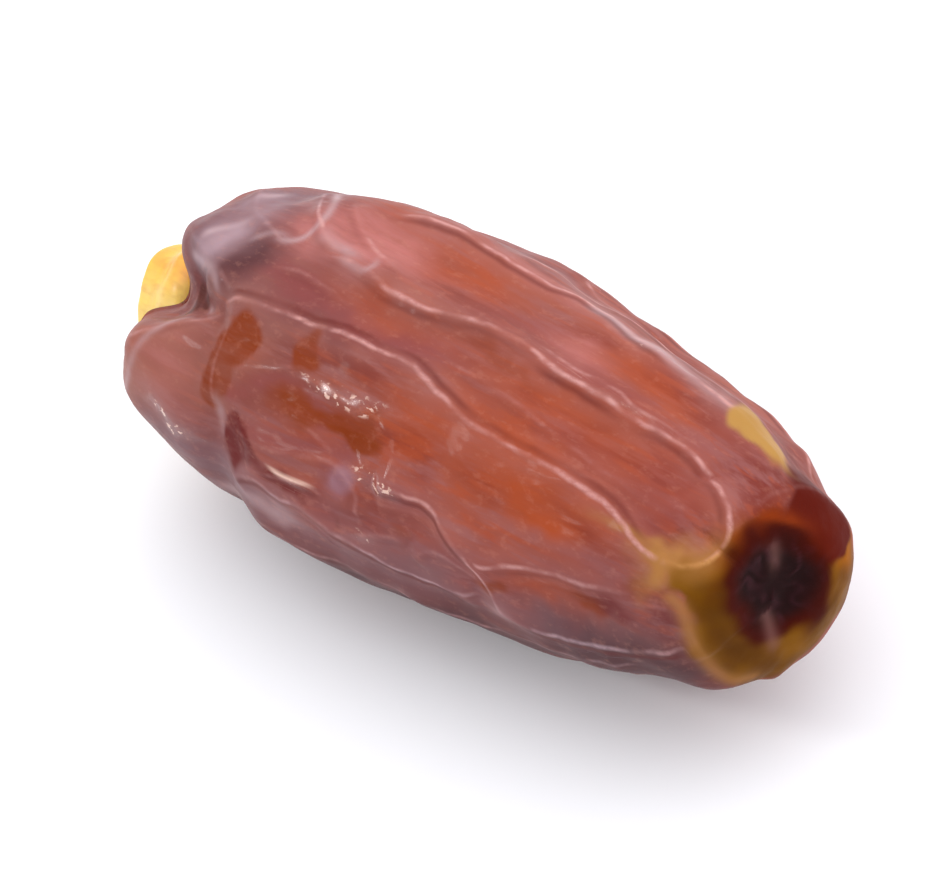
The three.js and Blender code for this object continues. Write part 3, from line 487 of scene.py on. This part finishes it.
def measured_outline():
    """Stations along the outline, with the place along the spine and the radius at each."""
    table = smooth_path(OUTLINE, OUTLINE_STEPS)
    table[:, 1] = np.maximum(table[:, 1], 0)
    steps = np.linalg.norm(np.diff(table, axis=0), axis=1)
    station = np.concatenate([[0], np.cumsum(steps)])
    rim = station[round(RIM_POINT / (len(OUTLINE) - 1) * OUTLINE_STEPS)]
    return station - rim, table[:, 0], table[:, 1]


STATION, ALONG, RADIUS = measured_outline()
PIT_END = STATION[0]
TIP_END = STATION[-1]


def radius_at(station):
    return np.interp(station, STATION, RADIUS)


def degree_width(station):
    """How wide a degree is in mm, and never less than where the radius is one."""
    return np.radians(1) * np.maximum(radius_at(station), 1)


def bell(off, width):
    return np.exp(-(off / width) ** 2)


def unit(vectors):
    return vectors / np.linalg.norm(vectors, axis=-1, keepdims=True)


def spine_at(along):
    """The spine's points at places along it, with the forward, sideways and upward directions."""
    q = along / LENGTH * 2 - 1
    side_bend = BEND_SIDE[0] * q ** 2 + BEND_SIDE[1] * q ** 3
    up_bend = BEND_UP[0] * q ** 2 + BEND_UP[1] * q ** 3
    point = np.stack([along - LENGTH / 2, side_bend, up_bend], -1)
    side_slope = (2 * BEND_SIDE[0] * q + 3 * BEND_SIDE[1] * q ** 2) * 2 / LENGTH
    up_slope = (2 * BEND_UP[0] * q + 3 * BEND_UP[1] * q ** 2) * 2 / LENGTH
    forward = unit(np.stack([np.ones_like(q), side_slope, up_slope], -1))
    side = unit(np.cross([0.0, 0.0, 1.0], forward))
    return point, forward, side, np.cross(forward, side)


def drawn_back(station, angle, radius):
    """How far the notch draws each place back along the spine."""
    off = angle_between(angle, NOTCH["angle"])
    around = bell(off, np.where(off > 0, NOTCH["under"], NOTCH["over"]))
    inside = np.minimum(radius / OUTLINE[RIM_POINT][1], 1) ** 2
    return NOTCH["depth"] * around * inside * (1 - smoothstep(station, 0, NOTCH["to"]))


def bare_point(station, angle):
    """Points of the form before its relief."""
    radius = radius_at(station)
    point, _, side, up = spine_at(np.interp(station, STATION, ALONG) + drawn_back(station, angle, radius))
    turn = np.radians(angle)
    across = (radius * np.cos(turn) * (1 + WIDER))[..., None]
    above = (radius * np.sin(turn) * (1 - WIDER))[..., None]
    return point + side * across + up * above


def bare_normal(station, angle):
    step = 0.02
    start = np.clip(station, PIT_END + 2 * step, TIP_END - 2 * step)
    along = bare_point(start + step, angle) - bare_point(start - step, angle)
    around = bare_point(start, angle + 1) - bare_point(start, angle - 1)
    return unit(np.cross(around, along))


def smoothstep(value, low, high):
    share = np.clip((value - low) / (high - low), 0, 1)
    return share * share * (3 - 2 * share)


def angle_between(angle, other):
    return (angle - other + 180) % 360 - 180


def soft_noise(points, height, size, seed):
    """Smooth noise of about that height up and down, with hills of the given size or sizes."""
    scaled = points / size + seed
    return height * (np.array([noise.noise(Vector(place)) for place in scaled]) * NOISE_GAIN)


def skin_places(station, angle):
    """The skin's places as points of a straight drum, for noise that runs along the fruit."""
    radius = radius_at(station)
    turn = np.radians(angle)
    return np.stack([station, radius * np.cos(turn), radius * np.sin(turn)], -1)


def wandered(station, angle, wander):
    """The places moved a little by noise, so that what is drawn there gets uneven edges."""
    places = skin_places(station, angle)
    mm = degree_width(station)
    moved_station = station.copy()
    moved_angle = angle.copy()
    for number, (reach, size) in enumerate(wander):
        by = [soft_noise(places, reach, size, seed + number) for seed in WANDER_SEEDS]
        moved_station += by[0]
        moved_angle += by[1] / mm
    return moved_station, moved_angle


def near_path(points, station, angle):
    """The places within reach of a smooth path, with their distance, side and way from the nearer end."""
    rough = np.asarray(points, float)
    rough_length = np.hypot(np.diff(rough[:, 0]), np.diff(rough[:, 1]) * DEGREE_MM).sum()
    path = smooth_path(rough, round(rough_length / PATH_STEP) + PATH_EXTRA)
    steps = np.hypot(np.diff(path[:, 0]), np.diff(path[:, 1]) * DEGREE_MM)
    travelled = np.concatenate([[0], np.cumsum(steps)])
    low, high = path[:, 0].min() - RIDGE_REACH, path[:, 0].max() + RIDGE_REACH
    close = np.flatnonzero((station > low) & (station < high))
    at = station[close]
    turned = angle[close]
    mm = degree_width(at)
    nearest = np.full(len(close), np.inf)
    side_of = np.zeros(len(close))
    place = np.zeros(len(close))
    for a, b, start, end in zip(path, path[1:], travelled, travelled[1:]):
        to_station = at - a[0]
        to_round = angle_between(turned, a[1]) * mm
        segment_station = b[0] - a[0]
        segment_round = (b[1] - a[1]) * mm
        square = segment_station ** 2 + segment_round ** 2 + 1e-9
        share = np.clip((to_station * segment_station + to_round * segment_round) / square, 0, 1)
        off_station = to_station - share * segment_station
        off_round = to_round - share * segment_round
        distance = np.hypot(off_station, off_round)
        nearer = distance < nearest
        nearest = np.where(nearer, distance, nearest)
        side_of = np.where(nearer, segment_station * off_round - segment_round * off_station, side_of)
        place = np.where(nearer, start + (end - start) * share, place)
    from_end = np.minimum(place, travelled[-1] - place)
    return close, nearest, side_of, from_end


def ridge_fields(ridge, station, angle):
    """Height that one ridge adds at each place, how plain its line is there, and how far off its crest.

    The distance is below zero on the side that has no dark line.
    """
    height, shown = np.zeros_like(station), np.zeros_like(station)
    off_crest = np.full_like(station, np.inf)
    close, nearest, side_of, from_end = near_path(ridge.path, station, angle)
    rise = smoothstep(from_end, 0, ridge.rise)
    reach = np.where(side_of > 0, ridge.under, ridge.over)
    fall = (np.sqrt(nearest ** 2 + ridge.crest ** 2) - ridge.crest) / reach
    height[close] = ridge.height * rise * np.exp(-fall)
    shown[close] = rise * min(ridge.height / LINE_FULL_HEIGHT, 1) * ridge.line
    dark_side = -1 if ridge.dark_over else 1
    off_crest[close] = nearest * np.where(side_of * dark_side > 0, 1, -1)
    return height, shown, off_crest


def stroke_strength(width, strength, path, station, angle):
    drawn = np.zeros_like(station)
    close, nearest, _, from_end = near_path(path, station, angle)
    drawn[close] = strength * smoothstep(from_end, *STROKE_ENDS) * bell(nearest, width)
    return drawn


def patch_strength(patches, station, angle):
    """The sum of soft patches, each given by station, angle, half length, half width and strength."""
    mm = degree_width(station)
    total = np.zeros_like(station)
    for at, angle_at, half_length, half_width, strength in patches:
        across = angle_between(angle, angle_at) * mm
        total += strength * np.exp(-((station - at) / half_length) ** 2 - (across / half_width) ** 2)
    return total


def wave_height(wave, station, angle):
    height, around, length, phase = wave
    width = np.minimum(radius_at(station) / WAVES_FULL_RADIUS, 1)
    return height * width ** 2 * np.cos(np.radians(around * angle + 360 * station / length + phase))


def skin_relief(station, angle):
    """The relief in mm, and the masks that go with its ridges."""
    places = skin_places(station, angle)
    moved_station, moved_angle = wandered(station, angle, WANDER)
    joined, crest, side, margins, best, second = (np.zeros_like(station) for _ in range(6))
    for ridge in RIDGES.values():
        height, shown, off_crest = ridge_fields(ridge, moved_station, moved_angle)
        joined += height ** JOIN_POWER
        away = np.abs(off_crest)
        # paler near the crests: a painted highlight over the skin's own paler tone
        margins = np.maximum(margins, shown * bell(away, CREST_PALE_SHEEN_WIDTH))
        claim = shown * bell(away, CREST_CLAIM)
        stronger = claim > best
        second = np.where(stronger, best, np.maximum(second, claim))
        best = np.maximum(best, claim)
        plain = shown * (1 - smoothstep(away, CREST_SPAN * 0.5, CREST_SPAN))
        crest = np.where(stronger, plain, crest)
        side = np.where(stronger, np.clip(off_crest, -CREST_SPAN, CREST_SPAN), side)
    crest *= smoothstep(1 - second / np.maximum(best, 1e-9), *CLAIM_LEAD)
    joined = joined ** (1 / JOIN_POWER) * (1 + soft_noise(places, *CREST_UNEVEN))
    sunk = sum(patch_strength(group, station, angle) for group in HOLLOWS.values())
    waves = sum(wave_height(wave, station, angle) for wave in WAVES)
    fine = soft_noise(places, *DIMPLES)
    fine += WRINKLE_HEIGHT * (0.5 - np.abs(soft_noise(places, *WRINKLES)))
    fade = smoothstep(np.minimum(station - PIT_END, TIP_END - station), 0, POLE_FADE)
    masks = {"crest": crest, "side": 0.5 + 0.5 * side / CREST_SPAN, "crest_pale_sheen": margins}
    return fade * (joined - sunk + waves + fine - RELIEF_SINK), masks


# Meshes

def drum_faces(rings, around):
    """Faces of a closed body of rings whose first and last are single points."""
    faces = []
    for turn in range(around):
        after = (turn + 1) % around
        faces.append((0, 1 + after, 1 + turn))
        for ring in range(rings - 3):
            low = 1 + ring * around
            high = low + around
            faces.append((low + turn, low + after, high + after, high + turn))
        last = 1 + (rings - 3) * around
        faces.append((last + turn, last + after, last + around))
    return faces


def drum_grid(values, turns):
    """The ring value and the angle of each vertex of such a body, in the order of its faces."""
    ring = np.concatenate([values[:1], np.repeat(values[1:-1], len(turns)), values[-1:]])
    return ring, np.concatenate([[0.0], np.tile(turns, len(values) - 2), [0.0]])


def even_turns(count):
    return np.arange(count) * 360 / count


def mesh_object(name, points, faces):
    mesh = bpy.data.meshes.new(name)
    mesh.from_pydata(points.tolist(), [], faces)
    mesh.validate()
    mesh.polygons.foreach_set("use_smooth", [True] * len(mesh.polygons))
    piece = bpy.data.objects.new(name, mesh)
    bpy.context.scene.collection.objects.link(piece)
    return piece


def add_mask(piece, name, values):
    layer = piece.data.attributes.new(name, "FLOAT", "POINT")
    layer.data.foreach_set("value", np.clip(values, 0, 1).astype(np.float32))


def valley_depth(relief):
    """How far each place lies below the skin around it, in mm, for a body of RINGS by AROUND places."""
    grid = relief[1:-1].reshape(RINGS - 2, AROUND)
    blurred = grid.copy()
    for _ in range(VALLEY_BLURS):
        sides = np.roll(blurred, 1, 1) + np.roll(blurred, -1, 1)
        padded = np.pad(blurred, ((1, 1), (0, 0)), "edge")
        blurred = (2 * blurred + sides + padded[:-2] + padded[2:]) / 6
    return np.concatenate([[0.0], (blurred - grid).ravel(), [0.0]])


# Materials

def set_range(node, low, high, out_low, out_high):
    """Makes a node a smooth step from low to high, between two other numbers."""
    node.interpolation_type = "SMOOTHSTEP"
    for socket, number in zip(("From Min", "From Max", "To Min", "To Max"), (low, high, out_low, out_high)):
        node.inputs[socket].default_value = number


class Shader:
    """A material and short calls for the nodes that it uses."""

    def __init__(self, name):
        self.material = bpy.data.materials.new(name)
        self.material.use_nodes = True
        self.tree = self.material.node_tree
        self.tree.nodes.clear()
        self.principled = self.add("ShaderNodeBsdfPrincipled")
        output = self.add("ShaderNodeOutputMaterial")
        self.tree.links.new(self.principled.outputs[0], output.inputs["Surface"])

    def add(self, kind):
        return self.tree.nodes.new(kind)

    def put(self, socket, value):
        """Sets a socket, or links it where the value is another node's output."""
        if isinstance(value, bpy.types.NodeSocket):
            self.tree.links.new(value, socket)
        else:
            socket.default_value = value

    def mask(self, name):
        attribute = self.add("ShaderNodeAttribute")
        attribute.attribute_name = name
        return attribute.outputs["Fac"]

    def noise(self, size, stretch=1.0, detail=2.0, rough=0.5):
        """Noise with hills of that size in mm, longer along the fruit by the stretch."""
        place = self.add("ShaderNodeTexCoord")
        mapping = self.add("ShaderNodeMapping")
        per_metre = 1 / (size * MM)
        mapping.inputs["Scale"].default_value = (per_metre / stretch, per_metre, per_metre)
        self.put(mapping.inputs["Vector"], place.outputs["Object"])
        texture = self.add("ShaderNodeTexNoise")
        texture.inputs["Scale"].default_value = 1.0
        texture.inputs["Detail"].default_value = detail
        texture.inputs["Roughness"].default_value = rough
        self.put(texture.inputs["Vector"], mapping.outputs["Vector"])
        return texture.outputs["Fac"]

    def span(self, value, low, high, out_low=0.0, out_high=1.0):
        """The value's way from low to high, as a smooth step between two other numbers."""
        node = self.add("ShaderNodeMapRange")
        self.put(node.inputs["Value"], value)
        set_range(node, low, high, out_low, out_high)
        return node.outputs["Result"]

    def reckon(self, operation, first, second=0.0):
        node = self.add("ShaderNodeMath")
        node.operation = operation
        self.put(node.inputs[0], first)
        self.put(node.inputs[1], second)
        return node.outputs[0]

    def times(self, first, second):
        return self.reckon("MULTIPLY", first, second)

    def band(self, value, place):
        """One where the value is at the place's distance from a crest, and nothing beyond its width."""
        off = self.reckon("SUBTRACT", value, 0.5 + 0.5 * place["at"] / CREST_SPAN)
        away = self.reckon("ABSOLUTE", off)
        return self.span(away, 0.0, 0.5 * place["width"] / CREST_SPAN, 1.0, 0.0)

    def mix(self, share, first, second):
        """The first colour with a share of the second; each is a tint or another node's output."""
        node = self.add("ShaderNodeMix")
        node.data_type = "RGBA"
        self.put(node.inputs["Factor"], share)
        for socket, colour in (("A", first), ("B", second)):
            self.put(node.inputs[socket], srgb(*colour) if isinstance(colour, tuple) else colour)
        return node.outputs["Result"]

    def paint(self, share, colour):
        """Lays a share of a colour over the colour so far."""
        self.colour = self.mix(share, self.colour, colour)

    def paint_masks(self, tints):
        for name, tint in tints.items():
            self.paint(self.times(self.mask(name), SHARES.get(name, 1.0)), tint)

    def bump(self, height, depth, before=None):
        """A bump of that depth in mm."""
        node = self.add("ShaderNodeBump")
        node.inputs["Distance"].default_value = depth * MM
        self.put(node.inputs["Height"], height)
        if before is not None:
            self.put(node.inputs["Normal"], before)
        return node.outputs["Normal"]

    def finish(self, values):
        """Sets the surface's sockets, and gives the material."""
        for name, value in values.items():
            self.put(self.principled.inputs[name], value)
        return self.material


def skin_material():
    """Thin skin over translucent flesh: sunken panels, pale crests, and an ochre tip with a scar.

    Its colour also holds painted light: shade in the valleys, beside the crests, in the notch and under
    the fruit, and highlights, sheens and glints on the crests, the upper lobe and the scar.
    """
    skin = Shader("date_skin")
    noises = {name: skin.noise(*values) for name, values in NOISES.items()}

    def span(name, noise=None):
        return skin.span(noises[noise or name], *SPANS[name])

    skin.colour = skin.mix(span("clouds"), PANEL_DARK, PANEL_LIGHT)
    skin.paint(span("streaks"), PANEL_MAUVE)
    skin.paint(span("threads"), PANEL_FIRE)
    # painted shade in the valleys and a painted highlight near the crests, each over the skin's own tone
    skin.paint_masks(RELIEF_TINTS)
    # patches, some of them painted shade, sheen or highlight
    for name, tint in PATCH_TINTS.items():
        broken = span("patches", "streaks" if name in STREAKED else "clouds")
        skin.paint(skin.times(skin.mask(name), broken), tint)
    skin.paint(span("specks"), SPECK_TINT)
    skin.paint(skin.mask("ochre"), skin.mix(span("clouds"), OCHRE_TINT, OCHRE_DEEP))
    skin.paint_masks(TIP_TINTS)
    # a painted shadow: a dark line beside each crest, on one side
    groove = skin.times(skin.mask("crest"), skin.band(skin.mask("side"), CREST_SHADOW))
    skin.paint(skin.times(groove, span("groove", "clouds")), CREST_SHADOW_TINT)
    # the pale line on each crest: partly paler skin, partly a painted highlight
    fold = skin.times(skin.mask("crest"), skin.band(skin.mask("side"), CREST_LINE))
    line = skin.times(skin.times(fold, span("line", "specks")), span("gaps"))
    line_tint = skin.mix(skin.mask("grey_sheen_shade"), LINE_TINT, LINE_TINT_GREY)
    skin.paint(line, skin.mix(skin.mask("ochre"), line_tint, LINE_TINT_TAN))
    crinkled = skin.span(skin.mask("crinkle"), *SPANS["crinkle"])
    # painted glints: pale flecks over the crinkled places
    skin.paint(skin.times(crinkled, span("glint_flecks")), GLINT_TINT)
    skin.paint_masks(TOP_TINTS)
    crinkle = skin.times(skin.mask("crinkle"), noises["crinkle"])
    heights = {"crinkle": crinkle, "crest": fold, "threads": noises["threads"], "pores": noises["pores"]}
    normal = None
    for name, height in heights.items():
        normal = skin.bump(height, SKIN_BUMPS[name], normal)
    return skin.finish({
        "Base Color": skin.colour, "Roughness": span("roughness", "clouds"),
        "Coat Weight": skin.mask("wet"), "Normal": normal, **SKIN_FINISH,
    })


def calyx_material():
    """Dry waxy calyx: golden, orange on its upper side, with fine streaks outward and a brown hollow."""
    cap = Shader("calyx")
    clouds, streaks = (cap.noise(*CAP_NOISES[name]) for name in ("clouds", "streaks"))
    cap.colour = cap.mix(cap.mask("upper"), CAP_LOWER, CAP_UPPER)
    cap.paint(cap.span(clouds, *CAP_SPANS["clouds"]), CAP_MIDDLE)
    cap.paint(cap.span(streaks, *CAP_SPANS["streaks"]), CAP_STREAK)
    cap.paint(cap.mask("hollow"), CAP_HOLLOW)
    return cap.finish({
        "Base Color": cap.colour, "Roughness": cap.span(clouds, *CAP_SPANS["roughness"]),
        "Normal": cap.bump(streaks, CAP_BUMP), **CAP_FINISH,
    })


def floor_material():
    floor = Shader("pale_floor")
    return floor.finish({"Base Color": floor.mix(floor.noise(FLOOR_NOISE), *FLOOR_TINTS), **FLOOR_FINISH})


# Pieces

def frame_move(points):
    """The move that lays the fruit's points in its solid's place."""
    low, high = (np.array(corner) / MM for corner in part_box("date_fruit"))
    middle = (points[:, 1].min() + points[:, 1].max()) / 2
    return np.array([high[0] - points[:, 0].max(), (low[1] + high[1]) / 2 - middle, -points[:, 2].min()])


def pucker_strength(offset, distance):
    """The wavering folds that run in to the middle of the scar."""
    around = np.arctan2(offset[:, 2], offset[:, 1])
    waver = sum(soft_noise(offset, *part) for part in PUCKER_WAVERS)
    folds = (0.5 + 0.5 * np.cos(PUCKERS["count"] * around + waver)) ** 2
    middle, width = (PUCKERS[name] * SCAR["radius"] for name in ("middle", "width"))
    ring = bell(distance - middle, width)
    return folds * ring * (PUCKERS["least"] + soft_noise(offset, *PUCKER_UNEVEN))


def drawn_masks(station, angle, moved_station, moved_angle):
    """The masks of the patches, and of the strokes that join them."""
    masks = {name: patch_strength(group, moved_station, moved_angle) for name, group in PATCHES.items()}
    for name in CRISP:
        masks[name] = smoothstep(masks[name], *CRISP_EDGE)
    for name, strokes in STROKES.items():
        for stroke in strokes:
            masks[name] = np.maximum(masks.get(name, 0), stroke_strength(*stroke, station, angle))
    return masks


def tip_masks(points, from_scar, moved_station, moved_angle):
    """The masks of the ochre tip and its scar."""
    near = bell(angle_between(moved_angle, OCHRE_NEAR["angle"]), OCHRE_NEAR["width"])
    ochre_from = OCHRE_FROM - OCHRE_NEAR["back"] * near
    masks = {"ochre": smoothstep(moved_station, ochre_from - OCHRE_FADE, ochre_from + OCHRE_FADE)}
    uneven = soft_noise(points, *SCAR_UNEVEN)
    for name, (inner, outer) in SCAR_FADES.items():
        masks[name] = 1 - smoothstep(from_scar + uneven, SCAR["radius"] + inner, SCAR["radius"] + outer)
    return masks


def fruit_piece():
    """Makes the fruit, and gives the move that laid it in its solid's place."""
    turns = even_turns(AROUND)
    turns = turns - np.degrees(CLOSER["share"] * np.sin(np.radians(turns - CLOSER["angle"])))
    station, angle = drum_grid(np.linspace(PIT_END, TIP_END, RINGS), turns)
    relief, masks = skin_relief(station, angle)
    bare = bare_point(station, angle)
    offset = bare - bare_point(np.array([SCAR["station"]]), np.array([SCAR["angle"]]))
    from_scar = np.linalg.norm(offset, axis=1)
    relief -= SCAR["sunk"] * (1 - smoothstep(from_scar, SCAR["radius"] * SCAR["floor"], SCAR["radius"]))
    # the scar's folds, whose tint is a painted glint
    masks["pucker_glint"] = pucker_strength(offset, from_scar)
    relief += PUCKERS["height"] * masks["pucker_glint"]
    points = bare + bare_normal(station, angle) * relief[:, None]
    points[:, 2] = np.maximum(points[:, 2], points[:, 2].min() + REST_CUT)
    move = frame_move(points)
    fruit = mesh_object("fruit", (points + move) * MM, drum_faces(RINGS, AROUND))
    moved = wandered(station, angle, PATCH_WANDER)
    masks.update(drawn_masks(station, angle, *moved))
    masks.update(tip_masks(points, from_scar, *moved))
    # how deep each place lies, for the painted shade in the hollows over the skin's deeper red
    masks["valley"] = smoothstep(valley_depth(relief), *VALLEY_DEPTHS)
    dull = np.minimum(np.maximum(masks["ochre"], masks["ember"]), 1)
    masks["wet"] = WET * (1 - dull) + sum(more * np.minimum(masks[name], 1) for name, more in WETTER.items())
    for name, mask in masks.items():
        add_mask(fruit, name, mask)
    fruit.data.materials.append(skin_material())
    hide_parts("date_fruit")
    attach(fruit, "root")
    return move


def calyx_lobe(band, out, angle):
    """How strongly the calyx's skirt or lip stands out, in lobes round it."""
    near = bell(out - band["at"], band["reach"])
    return near * np.cos(np.radians(LOBES * angle + band["turn"]))


def even_path(points, count):
    """Points spaced evenly along the smooth curve through the given ones."""
    fine = smooth_path(points, FINE_STEPS * len(points))
    length = np.concatenate([[0], np.cumsum(np.linalg.norm(np.diff(fine, axis=0), axis=1))])
    places = np.linspace(0, length[-1], count)
    return np.interp(places, length, fine[:, 0]), np.interp(places, length, fine[:, 1])


def calyx_piece(move):
    outs, radii = even_path(CALYX_OUTLINE, CALYX_RINGS)
    ring, angle = drum_grid(np.arange(CALYX_RINGS)[::-1], even_turns(CALYX_AROUND))
    out = outs[ring]
    radius = np.maximum(radii[ring], 0)
    seat, forward, side, up = (part[0] for part in spine_at(np.array([0.0])))
    lean = math.radians(CALYX_LEAN)
    outward = -math.cos(lean) * forward - math.sin(lean) * up
    upward = math.cos(lean) * up - math.sin(lean) * forward
    base = seat + forward * SEAT_IN - np.array([0, 0, SEAT_DROP])
    skirt, lip = (calyx_lobe(band, out, angle) for band in (SKIRT, LIP))
    wide = radius * (1 + SKIRT["wider"] * skirt + LIP["wider"] * lip)
    rim = np.minimum(radius / LIP["at"], 1)
    far = out + rim * (SKIRT["wave"] * skirt + LIP["wave"] * lip)
    turn = np.radians(angle)
    lines = np.stack([out * GRAIN_ALONG, radius * np.cos(turn), radius * np.sin(turn)], -1)
    wide = wide * (1 + soft_noise(lines, *GRAIN))
    points = (base + outward * far[:, None] + side * (wide * np.cos(turn))[:, None]
              + upward * (wide * np.sin(turn) * (1 - CALYX_LOWER))[:, None])
    calyx = mesh_object("calyx", (points + move) * MM, drum_faces(CALYX_RINGS, CALYX_AROUND))
    height = np.cos(turn - math.radians(UPPER["angle"])) * radius
    add_mask(calyx, "upper", smoothstep(height, *UPPER["rise"]))
    inside = ring > CALYX_RINGS * HOLLOW["after"]
    add_mask(calyx, "hollow", np.where(inside, smoothstep(LIP["at"] - out, 0, HOLLOW["fade"]), 0.0))
    calyx.data.materials.append(calyx_material())
    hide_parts("calyx_cap")
    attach(calyx, "root")


# Setting

def add_floor():
    bpy.ops.mesh.primitive_plane_add(size=FLOOR_SIZE, location=(0, 0, 0))
    floor = bpy.context.object
    floor.name = "floor"
    floor.data.materials.append(floor_material())
    floor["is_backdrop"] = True


def aim(thing, at, to, roll=0.0):
    """Puts a camera or light at a place, looking to another, rolled by degrees."""
    at = Vector(at)
    forward = (Vector(to) - at).normalized()
    level = forward.cross(Vector((0, 0, 1))).normalized()
    turn = math.radians(roll)
    up = level.cross(forward) * math.cos(turn) + level * math.sin(turn)
    matrix = Matrix((forward.cross(up), up, -forward)).transposed().to_4x4()
    matrix.translation = at
    thing.matrix_world = matrix


def add_lamp():
    lamp = bpy.data.lights.new("glint", "AREA")
    lamp.shape = "DISK"
    lamp.size = LAMP["size"]
    lamp.energy = LAMP["watts"]
    thing = bpy.data.objects.new("glint", lamp)
    bpy.context.scene.collection.objects.link(thing)
    aim(thing, Vector(LAMP["direction"]).normalized() * LAMP["distance"], LAMP["to"])


def add_camera():
    camera = bpy.data.objects.new("camera", bpy.data.cameras.new("camera"))
    camera.data.lens = CAMERA_LENS
    camera.data.clip_start = CAMERA_CLIP
    bpy.context.scene.collection.objects.link(camera)
    aim(camera, Vector(CAMERA_AT) * MM, Vector(CAMERA_TO) * MM, CAMERA_ROLL)
    bpy.context.scene.camera = camera


def add_world():
    world = bpy.data.worlds.new("studio")
    world.use_nodes = True
    tree = world.node_tree
    background = tree.nodes["Background"]
    background.inputs["Color"].default_value = srgb(*SKY_TINT)
    direction = tree.nodes.new("ShaderNodeTexCoord")
    toward = tree.nodes.new("ShaderNodeVectorMath")
    toward.operation = "DOT_PRODUCT"
    toward.inputs[1].default_value = Vector(SKY_TOWARD).normalized()
    strength = tree.nodes.new("ShaderNodeMapRange")
    set_range(strength, SKY_EDGE, 1.0, SKY_LOW, SKY_HIGH)
    tree.links.new(direction.outputs["Generated"], toward.inputs[0])
    tree.links.new(toward.outputs["Value"], strength.inputs["Value"])
    tree.links.new(strength.outputs["Result"], background.inputs["Strength"])
    bpy.context.scene.world = world


add_camera()
add_world()
add_lamp()
add_floor()
calyx_piece(fruit_piece())
bpy.context.scene.view_settings.view_transform = "Standard"

cad, visual = ([list(map(float, corner)) for corner in box] for box in (CAD_BOX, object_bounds()))
